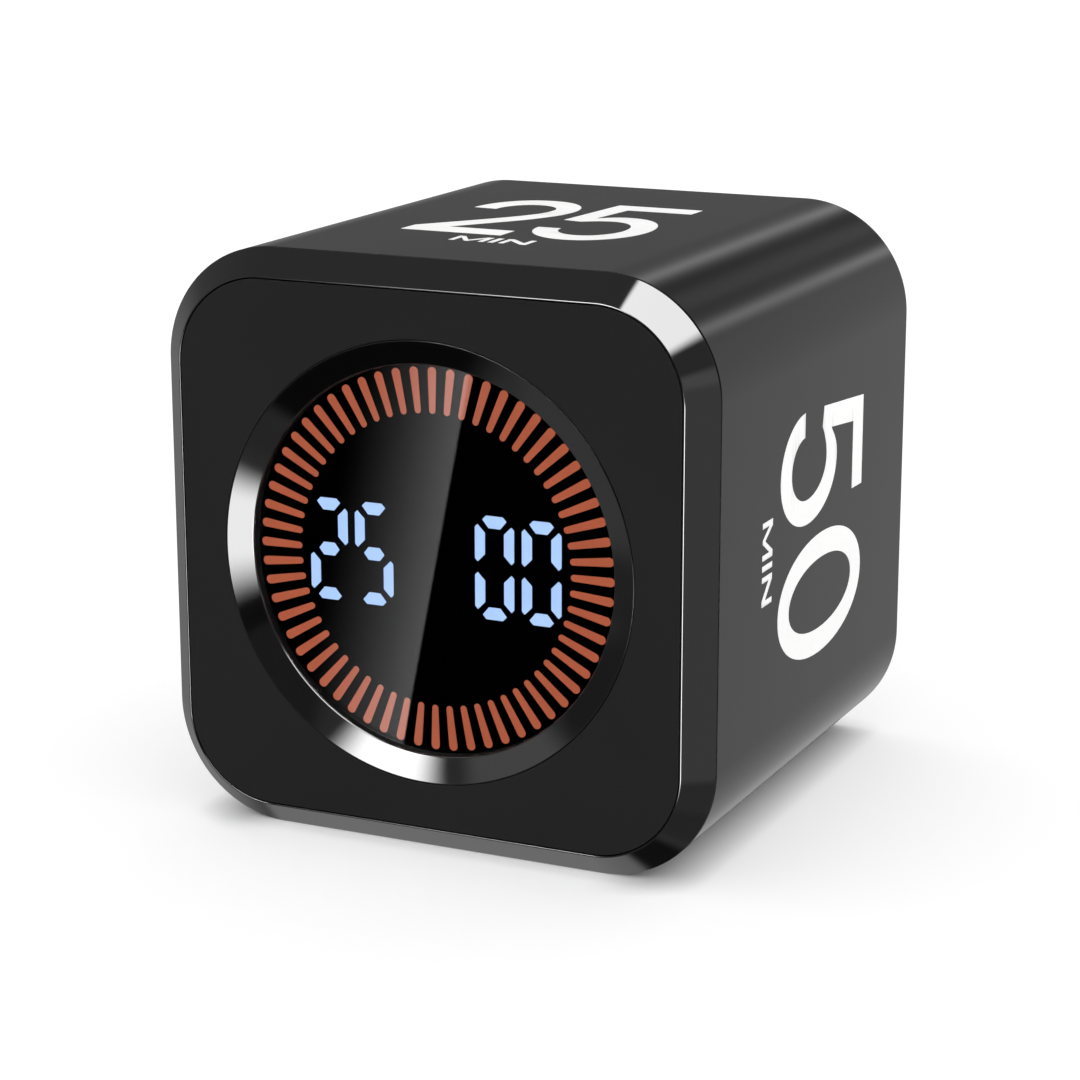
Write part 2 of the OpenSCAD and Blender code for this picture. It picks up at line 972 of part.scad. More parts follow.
// Charging socket
module charging_socket() {
    color("#c4c6ca")
        difference() {
            slab(main_back, socket_face)
                translate([0, socket_y])
                    socket_outline(0);
            slab(main_back + socket_floor, socket_face + 1)
                translate([0, socket_y])
                    socket_outline(-socket_shell);
        }
}

module socket_tongue() {
    color("#1b1b1b")
        block(main_back + socket_floor, socket_face - tongue_short, tongue_w, tongue_t, 0, socket_y);
}

// Speaker
module speaker_basket() {
    color("#3a3a3c")
        turned(speaker_x, speaker_y)
            polygon([
                [0, speaker_front], [speaker_r, speaker_front], [speaker_r, speaker_back],
                [speaker_r - speaker_wall, speaker_back],
                [speaker_r - speaker_wall, speaker_front + speaker_wall],
                [0, speaker_front + speaker_wall],
            ]);
}

module speaker_cone() {
    rim = speaker_r - speaker_wall;
    coil = speaker_r * 0.3;
    floor_depth = speaker_front + speaker_wall;
    high = speaker_back - 0.4;
    low = floor_depth + 0.5;
    color("#c9c2ae")
        turned(speaker_x, speaker_y)
            polygon([
                [coil, floor_depth], [coil + 0.4, floor_depth], [coil + 0.4, low],
                [rim - 1, high - 0.2], [rim, high - 0.2], [rim, high], [rim - 1.2, high],
                [coil, low + 0.3], [0, low + 0.6], [0, low + 0.3], [coil, low],
            ]);
}

module speaker_magnet() {
    color("#8d8f94")
        disc(speaker_front - magnet_t, speaker_front, magnet_r, speaker_x, speaker_y);
}

module speaker_mesh() {
    color("#161617")
        disc(speaker_back, cover_front, speaker_r - mesh_margin, speaker_x, speaker_y);
}

module speaker_leads() {
    color("#b3261e")
        for (side = [-wire_side, wire_side])
            disc(main_back, speaker_front, wire_r, speaker_x + side, speaker_y + speaker_r * 0.8);
}

// Vibration motor
module along_x(start, end, r) {
    translate([start, front_y + motor_axis, mid_z + motor_y])
        rotate([0, 90, 0])
            cylinder(h = end - start, r = r);
}

module motor_can() {
    color("#c4c6ca")
        difference() {
            along_x(motor_start, motor_end, motor_r);
            along_x(motor_end - shaft_sunk - shaft_end_gap, motor_end + 1, shaft_r + shaft_gap);
        }
}

module motor_boot() {
    half = motor_r + boot_wall;
    color("#1f1f21")
        difference() {
            translate([boot_start, front_y + motor_axis - half, mid_z + motor_y - half])
                cube([boot_len, half + motor_r + boot_floor, 2 * half]);
            along_x(boot_start - 1, boot_start + boot_len + 1, motor_r);
        }
}

module motor_leads() {
    color("#2b4fa8")
        for (y = [-wire_side, wire_side]) {
            translate([motor_start - wire_reach, front_y + motor_axis, mid_z + motor_y + y])
                rotate([0, 90, 0])
                    cylinder(h = wire_reach, r = wire_r);
            translate([motor_start - wire_reach, front_y + motor_axis, mid_z + motor_y + y])
                sphere(wire_r);
            disc(motor_axis, main_front, wire_r, motor_start - wire_reach, motor_y + y);
        }
}

module motor_shaft() {
    color("#b6b8bc")
        along_x(motor_end - shaft_sunk, weight_start + weight_len, shaft_r);
}

module motor_weight() {
    color("#6e6f73")
        difference() {
            along_x(weight_start, weight_start + weight_len, weight_r);
            along_x(weight_start - 1, weight_start + weight_len + 1, shaft_r);
            translate([weight_start - 1, front_y + motor_axis - weight_r - 1, mid_z + motor_y])
                translate([0, 0, shaft_r + weight_web])
                    cube([weight_len + 2, 2 * weight_r + 2, weight_r + 1]);
        }
}

// Buttons: 0 minutes, 1 seconds, 2 start and stop, from left to right seen from the rear
function button_x(index) = (1 - index) * button_pitch;

module tact_switches() {
    color("#bfc1c5")
        for (index = [0:2])
            difference() {
                block(main_back, tact_back, tact_w, tact_w, button_x(index), button_y);
                disc(
                    tact_back - plunger_sunk - button_travel - end_gap, tact_back + 1,
                    plunger_r + slide_gap, button_x(index), button_y
                );
            }
}

module plunger(index) {
    color("#1b1b1b")
        disc(tact_back - plunger_sunk, plunger_back, plunger_r, button_x(index), button_y);
}

module button(index) {
    flange_front = flange_back - button_flange_t;
    color("#3d3d40")
        turned(button_x(index), button_y)
            polygon([
                [0, control_face], [button_r - button_bevel, control_face],
                [button_r, control_face - button_bevel], [button_r, flange_back],
                [button_r + button_flange_w, flange_back],
                [button_r + button_flange_w, flange_front],
                [stem_r, flange_front], [stem_r, plunger_back], [0, plunger_back],
            ]);
}

// Sound switch
module switch_frame() {
    top = main_back + switch_frame_t;
    color("#c4c6ca")
        difference() {
            block(main_back, top, switch_frame_w, switch_frame_h, switch_x, switch_y);
            block(
                top - lever_foot - end_gap, top + 1,
                lever_w + 2 * (switch_travel + slide_gap), lever_w + 2 * slide_gap,
                switch_x, switch_y
            );
        }
}

module switch_lever() {
    color("#1b1b1b")
        block(
            main_back + switch_frame_t - lever_foot, lever_back,
            lever_w, lever_w, switch_x, switch_y
        );
}

module switch_cap() {
    flange_front = cap_flange_back - cap_flange_t;
    color("#3d3d40")
        difference() {
            union() {
                block(flange_front, cap_flange_back, cap_flange_w, cap_flange_h, switch_x, switch_y);
                block(cap_flange_back, control_face, cap_w, cap_h, switch_x, switch_y);
            }
            block(flange_front - 1, lever_back, lever_w, lever_w, switch_x, switch_y);
            for (i = [0:rib_count - 1])
                translate([
                    switch_x + (i - (rib_count - 1) / 2) * rib_pitch,
                    front_y + control_face,
                    mid_z + switch_y - cap_h / 2 - 1,
                ])
                    cylinder(h = cap_h + 2, r = rib_r);
        }
}

body_sleeve();
front_bezel();
front_plate();
dial_ring();
front_lens();
display_mask();
light_bars();
digits_lit();
digits_unlit();
diffuser_sheet();
light_shroud();
bar_leds();
digit_leds();
display_board();
display_drivers();
display_screws();
inner_chassis();
chassis_screws();
battery();
battery_pad();
battery_lead_red();
battery_lead_black();
battery_plug();
ribbon_cable();
ribbon_sockets();
main_board();
controller_chip();
motion_sensor();
power_chips();
board_screws();
rear_cover();
cover_screws();
charging_socket();
socket_tongue();
speaker_basket();
speaker_cone();
speaker_magnet();
speaker_mesh();
speaker_leads();
motor_can();
motor_boot();
motor_leads();
motor_shaft();
motor_weight();
tact_switches();
plunger(0);  // minutes_plunger
button(0);  // minutes_button
plunger(1);  // seconds_plunger
button(1);  // seconds_button
plunger(2);  // start_plunger
button(2);  // start_button
switch_frame();
switch_lever();
switch_cap();
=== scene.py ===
import json
import math

import bmesh
import bpy
from mathutils import Matrix, Vector


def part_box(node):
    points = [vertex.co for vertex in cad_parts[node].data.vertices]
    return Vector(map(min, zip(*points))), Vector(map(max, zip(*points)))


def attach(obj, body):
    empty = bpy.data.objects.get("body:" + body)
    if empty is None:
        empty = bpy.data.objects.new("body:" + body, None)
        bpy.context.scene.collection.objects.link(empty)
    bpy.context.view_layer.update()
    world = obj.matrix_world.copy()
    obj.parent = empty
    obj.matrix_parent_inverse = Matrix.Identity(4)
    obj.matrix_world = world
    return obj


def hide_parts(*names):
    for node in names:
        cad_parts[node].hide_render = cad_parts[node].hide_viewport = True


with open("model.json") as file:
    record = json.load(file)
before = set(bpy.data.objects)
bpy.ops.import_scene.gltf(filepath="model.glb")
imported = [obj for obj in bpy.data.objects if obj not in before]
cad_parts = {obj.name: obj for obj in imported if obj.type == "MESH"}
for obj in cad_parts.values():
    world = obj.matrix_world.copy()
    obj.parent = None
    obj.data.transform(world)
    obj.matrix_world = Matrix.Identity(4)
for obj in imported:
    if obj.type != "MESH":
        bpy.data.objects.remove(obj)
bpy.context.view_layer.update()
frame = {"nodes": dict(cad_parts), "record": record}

# A cube-shaped countdown timer. Pieces are modelled in millimetres and placed in metres.
MM = 0.001

# ---------------------------------------------------------------- sizes, in millimetres

SLEEVE_LOW, SLEEVE_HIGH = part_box("body_sleeve")
RING_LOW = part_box("dial_ring")[0]
HALF = (SLEEVE_HIGH.x - SLEEVE_LOW.x) / 2 / MM
MIDDLE_Z = (SLEEVE_HIGH.z + SLEEVE_LOW.z) / 2 / MM
FRONT_Y = RING_LOW.y / MM
REAR_DEPTH = SLEEVE_HIGH.y / MM - FRONT_Y

CORNER_R = 12.0
CORNER_STEPS = 40
LOOP_STEPS = 4 * (CORNER_STEPS + 1)
ROUND_STEPS = 180

BEZEL_BEVEL = 2.6
BAND_BACK = 2.7
SEAM_BACK = SLEEVE_LOW.y / MM - FRONT_Y
SEAM_DEPTH = 0.3
POCKET_INSET = 2.72
LIP_ROUND = 0.1
BAND_ROUND = 0.04
SPIGOT_INSET = 1.9
SPIGOT_LONG = 5.0
SPIGOT_BACK = SEAM_BACK + SPIGOT_LONG
BORE_INSET = 3.7
WEB_BACK = 4.6

PLATE_INSET = 2.84
PLATE_T = 1.6
PLATE_HOLE_R = 22.48
PLATE_ROUND = 0.05

RING_R = 22.4
RING_LAND = 0.1
CONE_DEPTH = 1.1
CONE_EDGE = 0.15
WINDOW_R = 19.86
FLANGE_R = 24.0
POCKET_R = 24.1
WEB_R = 21.06
RING_BACK = 3.0
RING_ROUND = 0.012

LENS_SEAT = 0.05
LENS_R = WINDOW_R + LENS_SEAT
LENS_FRONT = 1.6
LENS_BACK = 2.37
LENS_ROUND = 0.012

SLEEVE_WALL = 1.8
RIM_WALL = 1.0
COVER_T = 2.0
COVER_FRONT = REAR_DEPTH - COVER_T
REAR_ROUND = 0.2
SEAM_ROUND = 0.03

BUTTON_R = 3.5
BUTTON_FLANGE_R = 4.3
BUTTON_SUNK = 0.3
BUTTON_FACE = REAR_DEPTH - BUTTON_SUNK
BUTTON_DISH = 0.22
BUTTON_ROUND = 0.15
DISH_R = BUTTON_R * 0.9
DISH_SHARES = (0.84, 0.68, 0.5, 0.32, 0.16, 0)
BUTTON_UP = 12.0
BUTTON_PITCH = 12.0
FLANGE_GAP = 0.05
FLANGE_T = 0.7
FLANGE_BACK = COVER_FRONT - FLANGE_GAP
FLANGE_FRONT = FLANGE_BACK - FLANGE_T
STEM_R = 1.4
STEM_FRONT = 54.1

PRINT_PROUD = 0.012
PRINT_T = 0.02

# front space: X right, Y up, Z back from the front face
FRONT_SPACE = Matrix((
    (MM, 0, 0, 0),
    (0, 0, MM, FRONT_Y * MM),
    (0, MM, 0, MIDDLE_Z * MM),
    (0, 0, 0, 1),
))


# ---------------------------------------------------------------- camera

CAMERA_AT = Vector((129.347, -278.005, 105.121)) * MM
CAMERA_AZIMUTH = 0.436214
CAMERA_ELEVATION = 0.2584195
CAMERA_ROLL = -0.00057
CAMERA_LENS = 98.74
CAMERA_SHIFT = (-0.00517, 0.0155)
CAMERA_SENSOR = 36
CAMERA_NEAR = 0.01
CAMERA_FAR = 50


def set_camera():
    """Looks at the timer's front, from its right and a little above."""
    data = bpy.data.cameras.new("camera")
    data.sensor_width = CAMERA_SENSOR
    data.lens = CAMERA_LENS
    data.shift_x, data.shift_y = CAMERA_SHIFT
    data.clip_start = CAMERA_NEAR
    data.clip_end = CAMERA_FAR
    camera = bpy.data.objects.new("camera", data)
    bpy.context.scene.collection.objects.link(camera)
    back = Vector((
        math.sin(CAMERA_AZIMUTH) * math.cos(CAMERA_ELEVATION),
        -math.cos(CAMERA_AZIMUTH) * math.cos(CAMERA_ELEVATION),
        math.sin(CAMERA_ELEVATION),
    ))
    right = Vector((math.cos(CAMERA_AZIMUTH), math.sin(CAMERA_AZIMUTH), 0))
    level = Matrix((right, back.cross(right), back)).transposed()
    turn = level @ Matrix.Rotation(CAMERA_ROLL, 3, "Z")
    camera.matrix_world = Matrix.Translation(CAMERA_AT) @ turn.to_4x4()
    bpy.context.scene.camera = camera


# ---------------------------------------------------------------- node helpers

def add(tree, kind, links=None, **settings):
    """Adds a node, sets its properties, and fills its inputs with values or sockets."""
    item = tree.nodes.new(kind)
    for name, value in settings.items():
        setattr(item, name, value)
    for name, value in (links or {}).items():
        if isinstance(value, bpy.types.NodeSocket):
            tree.links.new(value, item.inputs[name])
        else:
            item.inputs[name].default_value = value
    return item


def maths(tree, operation, *values):
    """One Math node, as its output socket."""
    return add(tree, "ShaderNodeMath", dict(enumerate(values)), operation=operation).outputs[0]


def ramped(tree, value, low, high, to_low=0.0, to_high=1.0, smooth=True):
    """Maps a value from one span to another, eased at both ends."""
    return add(tree, "ShaderNodeMapRange", {
        "Value": value, "From Min": low, "From Max": high, "To Min": to_low, "To Max": to_high,
    }, interpolation_type="SMOOTHSTEP" if smooth else "LINEAR").outputs[0]


def ramped_mm(tree, value, span, to_low=0.0, to_high=1.0):
    """A ramp between two places that are given in millimetres."""
    return ramped(tree, value, span[0] * MM, span[1] * MM, to_low, to_high)


def new_group(name, inputs, outputs):
    """A shader node group with named sockets. An input's value is its default."""
    tree = bpy.data.node_groups.new(name, "ShaderNodeTree")
    for label, value in inputs.items():
        kind = "NodeSocketFloat"
        if isinstance(value, tuple):
            kind = "NodeSocketColor" if len(value) == 4 else "NodeSocketVector"
        socket = tree.interface.new_socket(label, in_out="INPUT", socket_type=kind)
        socket.default_value = value
    for label, kind in outputs.items():
        tree.interface.new_socket(label, in_out="OUTPUT", socket_type=kind)
    given = tree.nodes.new("NodeGroupInput").outputs
    return tree, given, tree.nodes.new("NodeGroupOutput").inputs


# ---------------------------------------------------------------- shared surface effects

# the part of the noise that spreads over both tones
DRIFT_LOW = 0.3
DRIFT_HIGH = 0.7
# patches and rises in millimetres
SMOKE_PATCH = 15.0
SMOKE_VARY = 0.01
SMOKE_IOR = 1.45
LIGHT_PATCH = 3.0
LIGHT_VARY = 0.03
BOARD_ROUGH = 0.35
TRACKS_PER_MM = 0.5
TRACK_EDGE = 0.34
TRACK_TOP = 0.4
TRACK_RISE = 0.02


def make_grain():
    """Fine relief of a moulded or blasted skin. Size is the grain's width in millimetres."""
    tree, given, out = new_group(
        "surface_grain",
        {"Vector": (0.0, 0.0, 0.0), "Size": 0.2},
        {"Height": "NodeSocketFloat"},
    )
    scaled = add(tree, "ShaderNodeVectorMath", {
        0: given["Vector"], "Scale": maths(tree, "DIVIDE", 1 / MM, given["Size"]),
    }, operation="SCALE").outputs[0]
    noise = add(tree, "ShaderNodeTexNoise", {"Vector": scaled, "Scale": 1.0, "Detail": 1.0})
    tree.links.new(noise.outputs["Fac"], out["Height"])
    return tree


def make_drift():
    """Slow drift between two tones of one finish. Size is the patches' width in millimetres."""
    tree, given, out = new_group(
        "tone_drift",
        {"Vector": (0.0, 0.0, 0.0), "Size": 12.0, "Tone": (0.1, 0.1, 0.1, 1.0),
         "Other Tone": (0.1, 0.1, 0.1, 1.0), "Low": 0.0, "High": 1.0},
        {"Color": "NodeSocketColor", "Value": "NodeSocketFloat"},
    )
    scaled = add(tree, "ShaderNodeVectorMath", {
        0: given["Vector"], "Scale": maths(tree, "DIVIDE", 1 / MM, given["Size"]),
    }, operation="SCALE").outputs[0]
    noise = add(tree, "ShaderNodeTexNoise", {"Vector": scaled, "Scale": 1.0, "Detail": 1.0})
    spread = ramped(tree, noise.outputs["Fac"], DRIFT_LOW, DRIFT_HIGH)
    mix = add(tree, "ShaderNodeMix", {"Factor": spread}, data_type="RGBA")
    tree.links.new(given["Tone"], mix.inputs[6])
    tree.links.new(given["Other Tone"], mix.inputs[7])
    tree.links.new(mix.outputs[2], out["Color"])
    span = maths(tree, "SUBTRACT", given["High"], given["Low"])
    tree.links.new(maths(tree, "MULTIPLY_ADD", spread, span, given["Low"]), out["Value"])
    return tree


GRAIN = make_grain()
DRIFT = make_drift()


def new_material(name):
    """An empty material: its tree, its Principled shader and its Object coordinates."""
    material = bpy.data.materials.new(name)
    material.use_nodes = True
    tree = material.node_tree
    tree.nodes.clear()
    shader = tree.nodes.new("ShaderNodeBsdfPrincipled")
    output = tree.nodes.new("ShaderNodeOutputMaterial")
    tree.links.new(shader.outputs[0], output.inputs["Surface"])
    spot = add(tree, "ShaderNodeTexCoord").outputs["Object"]
    return material, tree, shader, spot


def use_group(tree, group, links):
    """Places a shared group in a material, with that material's own values."""
    item = tree.nodes.new("ShaderNodeGroup")
    item.node_tree = group
    for name, value in links.items():
        if isinstance(value, bpy.types.NodeSocket):
            tree.links.new(value, item.inputs[name])
        else:
            item.inputs[name].default_value = value
    return item.outputs


def tone(colour, factor=1.0):
    """A colour with full alpha, lightened or darkened by a factor."""
    return tuple(channel * factor for channel in colour) + (1.0,)


def surface(name, colour, rough, metal=0.0, vary=0.06, rough_vary=0.04, patch=9.0,
            grain=0.25, relief=0.006, specular=0.5, ior=1.5, glow=0.0):
    """A moulded, painted or metal finish with drifting tone and roughness and a fine grain. A glow
    gives it an even white light of its own, which is painted light.
    """
    material, tree, shader, spot = new_material(name)
    shader.inputs["Metallic"].default_value = metal
    shader.inputs["Specular IOR Level"].default_value = specular
    shader.inputs["IOR"].default_value = ior
    shader.inputs["Emission Color"].default_value = tone((1.0,) * 3)
    shader.inputs["Emission Strength"].default_value = glow
    drift = use_group(tree, DRIFT, {
        "Vector": spot, "Size": patch,
        "Tone": tone(colour, 1 - vary), "Other Tone": tone(colour, 1 + vary),
        "Low": rough - rough_vary, "High": rough + rough_vary,
    })
    tree.links.new(drift["Color"], shader.inputs["Base Color"])
    tree.links.new(drift["Value"], shader.inputs["Roughness"])
    height = use_group(tree, GRAIN, {"Vector": spot, "Size": grain})["Height"]
    bump = add(tree, "ShaderNodeBump", {"Height": height, "Distance": relief * MM})
    tree.links.new(bump.outputs[0], shader.inputs["Normal"])
    return material


def smoked_glass(name, colour):
    """Clear smoked plastic, polished, with a faint drift of its smoke."""
    material, tree, shader, spot = new_material(name)
    shader.inputs["Transmission Weight"].default_value = 1.0
    shader.inputs["Roughness"].default_value = 0.0
    shader.inputs["IOR"].default_value = SMOKE_IOR
    drift = use_group(tree, DRIFT, {
        "Vector": spot, "Size": SMOKE_PATCH,
        "Tone": tone(colour, 1 - SMOKE_VARY), "Other Tone": tone(colour),
    })
    tree.links.new(drift["Color"], shader.inputs["Base Color"])
    return material


def glowing(name, colour, light, strength, rough=0.5, ior=1.5):
    """A light guide that glows through the lens, a little unevenly."""
    material, tree, shader, spot = new_material(name)
    shader.inputs["Roughness"].default_value = rough
    shader.inputs["IOR"].default_value = ior
    shader.inputs["Base Color"].default_value = tone(colour)
    shader.inputs["Emission Strength"].default_value = strength
    drift = use_group(tree, DRIFT, {
        "Vector": spot, "Size": LIGHT_PATCH,
        "Tone": tone(light, 1 - LIGHT_VARY), "Other Tone": tone(light, 1 + LIGHT_VARY),
    })
    tree.links.new(drift["Color"], shader.inputs["Emission Color"])
    return material


def circuit_board(name, colour, trace):
    """Solder mask with faint copper tracks under it."""
    material, tree, shader, spot = new_material(name)
    shader.inputs["Roughness"].default_value = BOARD_ROUGH
    cells = add(tree, "ShaderNodeTexVoronoi", {"Vector": spot, "Scale": TRACKS_PER_MM / MM},
                feature="F1", distance="CHEBYCHEV")
    tracks = ramped(tree, cells.outputs["Distance"], TRACK_EDGE, TRACK_TOP)
    mix = add(tree, "ShaderNodeMix", {"Factor": tracks}, data_type="RGBA")
    mix.inputs[6].default_value = tone(colour)
    mix.inputs[7].default_value = tone(trace)
    tree.links.new(mix.outputs[2], shader.inputs["Base Color"])
    bump = add(tree, "ShaderNodeBump", {"Height": tracks, "Distance": TRACK_RISE * MM})
    tree.links.new(bump.outputs[0], shader.inputs["Normal"])
    return material


GLOSS_BLACK = (0.001, 0.001, 0.0011)
GLOSS_SKIN = {
    "vary": 0.1, "rough_vary": 0.01, "patch": 14, "grain": 0.9, "relief": 0.00005, "ior": 1.9,
}

# the finish of each of the record's slots
FINISHES = {
    "sleeve_black": surface("anodised_sleeve", (0.006, 0.006, 0.0065), 0.17, vary=0.08,
                            rough_vary=0.01, patch=20, grain=0.16, relief=0.0006),
    "bezel_gloss": surface("gloss_bezel", GLOSS_BLACK, 0.05, **GLOSS_SKIN),
    "ring_gloss": surface("gloss_ring", GLOSS_BLACK, 0.05, **GLOSS_SKIN),
    "plate_matte": surface("matte_plate", (0.0146, 0.0146, 0.015), 0.6, vary=0.04,
                           rough_vary=0.02, patch=16, grain=0.12, relief=0.002, specular=0.05),
    "lens_smoked": smoked_glass("smoked_lens", (0.62, 0.62, 0.63)),
    "mask_black": surface("window_mask", (0.0005, 0.0005, 0.0005), 0.7, grain=0.1, relief=0.002,
                          specular=0.0),
    "bars_orange": glowing("orange_bars", (0.03, 0.01, 0.005), (0.390, 0.0955, 0.0475), 1.75,
                           rough=0.05, ior=3.2),
    "digits_blue": glowing("blue_segments", (0.05, 0.05, 0.05), (0.402, 0.604, 1.0), 1.75),
    "digits_off": surface("unlit_segments", (0.0006, 0.0006, 0.0007), 0.6, grain=0.2,
                          specular=0.0),
    "diffuser_white": surface("diffuser_film", (0.7, 0.7, 0.68), 0.6, grain=0.1),
    "shroud_white": surface("white_shroud", (0.72, 0.72, 0.7), 0.5),
    "led_warm": surface("amber_emitter", (0.8, 0.55, 0.2), 0.3),
    "led_cool": surface("blue_emitter", (0.7, 0.75, 0.6), 0.3),
    "board_green": circuit_board("green_board", (0.01, 0.09, 0.03), (0.02, 0.15, 0.05)),
    "chip_black": surface("chip_epoxy", (0.018, 0.018, 0.018), 0.45, grain=0.08, relief=0.004),
    "screw_steel": surface("zinc_screw", (0.55, 0.54, 0.5), 0.3, metal=1.0, patch=2, grain=0.1),
    "chassis_grey": surface("grey_chassis", (0.12, 0.12, 0.125), 0.5, grain=0.4, relief=0.01),
    "battery_foil": surface("foil_pouch", (0.55, 0.56, 0.58), 0.32, metal=1.0, patch=5,
                            grain=2.5, relief=0.06),
    "foam_grey": surface("foam_pad", (0.16, 0.16, 0.17), 0.9, grain=0.4, relief=0.08),
    "lead_red": surface("red_lead", (0.45, 0.02, 0.015), 0.4),
    "lead_black": surface("black_lead", (0.02, 0.02, 0.02), 0.4),
    "lead_blue": surface("blue_lead", (0.02, 0.06, 0.35), 0.4),
    "plug_cream": surface("cream_plug", (0.65, 0.6, 0.48), 0.45),
    "ribbon_cream": surface("ribbon", (0.6, 0.56, 0.45), 0.4),
    "cover_black": surface("moulded_cover", (0.016, 0.016, 0.017), 0.42, grain=0.22,
                           relief=0.008),
    "screw_black": surface("blackened_screw", (0.035, 0.034, 0.033), 0.3, metal=1.0, patch=2,
                           grain=0.1),
    "socket_steel": surface("socket_shell", (0.5, 0.5, 0.5), 0.28, metal=1.0, patch=3, grain=0.1),
    "tongue_black": surface("black_nylon", (0.02, 0.02, 0.02), 0.5),
    "basket_black": surface("speaker_frame", (0.02, 0.02, 0.02), 0.4),
    "cone_paper": surface("paper_cone", (0.06, 0.058, 0.055), 0.8, grain=0.3, relief=0.03),
    "magnet_grey": surface("ferrite_magnet", (0.08, 0.08, 0.085), 0.5, grain=0.2, relief=0.02),
    "mesh_black": surface("dust_mesh", (0.012, 0.012, 0.012), 0.8, grain=0.15, relief=0.04),
    "motor_steel": surface("motor_can", (0.55, 0.55, 0.54), 0.25, metal=1.0, patch=4, grain=0.2),
    "boot_rubber": surface("rubber_boot", (0.02, 0.02, 0.02), 0.85, grain=0.3, relief=0.01),
    "weight_grey": surface("sintered_weight", (0.3, 0.3, 0.31), 0.4, metal=1.0, grain=0.2),
    "button_grey": surface("grey_button", (0.045, 0.045, 0.048), 0.4, grain=0.2, relief=0.006),
}
# the white ink is the print's own colour; its faint, even white glow of its own is painted light
PRINT_WHITE_GLOWING = surface("print_white_glowing", (0.95, 0.95, 0.945), 0.5, vary=0.006, grain=0.15,
                      relief=0.001, specular=0.3, glow=0.13)
BORE_BLACK = surface("bore_paint", (0.004, 0.004, 0.004), 0.6, grain=0.12, relief=0.001,
                     specular=0.05)


# ---------------------------------------------------------------- modelling helpers

SLOTS = {part["node"]: part["material_slot"] for part in frame["record"]["subparts"]}
BODIES = {node: body for body, nodes in frame["record"]["behaviour"]["bodies"].items()
          for node in nodes}
SHARP = math.radians(25)
FLAT = math.radians(0.5)
MERGE = 1e-4
NODE_MERGE = 1e-3
APART = 100.0
BORDER = 0.4
# how near an edge lies to the depth or the radius that it is chosen by
NEAR = 0.01
NEAR_R = 0.1


def outline(bm, inset, depth):
    """A loop parallel to the body's rounded outline, at a depth behind the front."""
    corners = bmesh.ops.create_grid(bm, x_segments=1, y_segments=1, size=HALF - inset,
                                    matrix=Matrix.Translation((0, 0, depth)))["verts"]
    bmesh.ops.bevel(bm, geom=corners, offset=CORNER_R - inset, offset_type="OFFSET",
                    segments=CORNER_STEPS, profile=0.5, affect="VERTICES", material=-1)
    face = max((f for f in bm.faces if len(f.verts) == LOOP_STEPS), key=lambda f: f.index)
    edges = list(face.edges)
    bmesh.ops.delete(bm, geom=[face], context="FACES_ONLY")
    return edges


def circle(bm, radius, depth):
    """A round loop with as many points as an outline."""
    verts = bmesh.ops.create_circle(bm, radius=radius, segments=LOOP_STEPS,
                                    matrix=Matrix.Translation((0, 0, depth)))["verts"]
    return list({edge for vert in verts for edge in vert.link_edges})


def walls(bm, loop, profile, closed=False):
    """Joins loops of a profile of (reach, depth) points. They are bridged while they stand far
    apart, then moved to their depths, so that flat steps bridge as cleanly as walls."""
    loops = [loop(bm, reach, APART * place) for place, (reach, _) in enumerate(profile)]
    for near, far in zip(loops, loops[1:] + loops[:1] * closed):
        bmesh.ops.bridge_loops(bm, edges=near + far)
    for place, edges in enumerate(loops):
        bmesh.ops.translate(bm, verts=list({vert for edge in edges for vert in edge.verts}),
                            vec=(0, 0, profile[place][1] - APART * place))
    return loops


def turned(bm, profile, centre=(0.0, 0.0)):
    """Spins (radius, depth) points round the front-to-back axis: a ring, or a solid that starts
    and ends on the axis."""
    verts = [bm.verts.new((centre[0] + radius, centre[1], depth)) for radius, depth in profile]
    ends = [] if profile[0][0] == 0 else verts[:1]
    edges = [bm.edges.new(pair) for pair in zip(verts, verts[1:] + ends)]
    bmesh.ops.spin(bm, geom=verts + edges, cent=(centre[0], centre[1], 0), axis=(0, 0, 1),
                   angle=2 * math.pi, steps=ROUND_STEPS, use_merge=True)
    bmesh.ops.remove_doubles(bm, verts=bm.verts, dist=MERGE)
    bmesh.ops.recalc_face_normals(bm, faces=bm.faces)


def soften(bm, width, steps=2, wanted=None):
    """Rounds sharp edges by a width. A test may choose the edges by their middle."""
    bm.normal_update()
    sharp = []
    for edge in bm.edges:
        if not edge.is_manifold or edge.calc_face_angle() < SHARP:
            continue
        if wanted is None or wanted((edge.verts[0].co + edge.verts[1].co) / 2):
            sharp.append(edge)
    bmesh.ops.bevel(bm, geom=sharp, offset=width, offset_type="OFFSET", segments=steps,
                    profile=0.5, affect="EDGES", material=-1, clamp_overlap=True)


def make_piece(name, bm, material, body="case", space=FRONT_SPACE, stands_for=()):
    """Turns a bmesh into a smooth shaded piece that rides on a body."""
    bmesh.ops.remove_doubles(bm, verts=bm.verts, dist=MERGE)
    bmesh.ops.transform(bm, matrix=space, verts=bm.verts)
    bmesh.ops.recalc_face_normals(bm, faces=bm.faces)
    mesh = bpy.data.meshes.new(name)
    bm.to_mesh(mesh)
    bm.free()
    mesh.shade_smooth()
    mesh.materials.append(material)
    piece = bpy.data.objects.new(name, mesh)
    bpy.context.scene.collection.objects.link(piece)
    weighted = piece.modifiers.new("even_normals", "WEIGHTED_NORMAL")
    weighted.weight = 100
    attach(piece, body)
    if stands_for:
        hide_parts(*stands_for)
    return piece


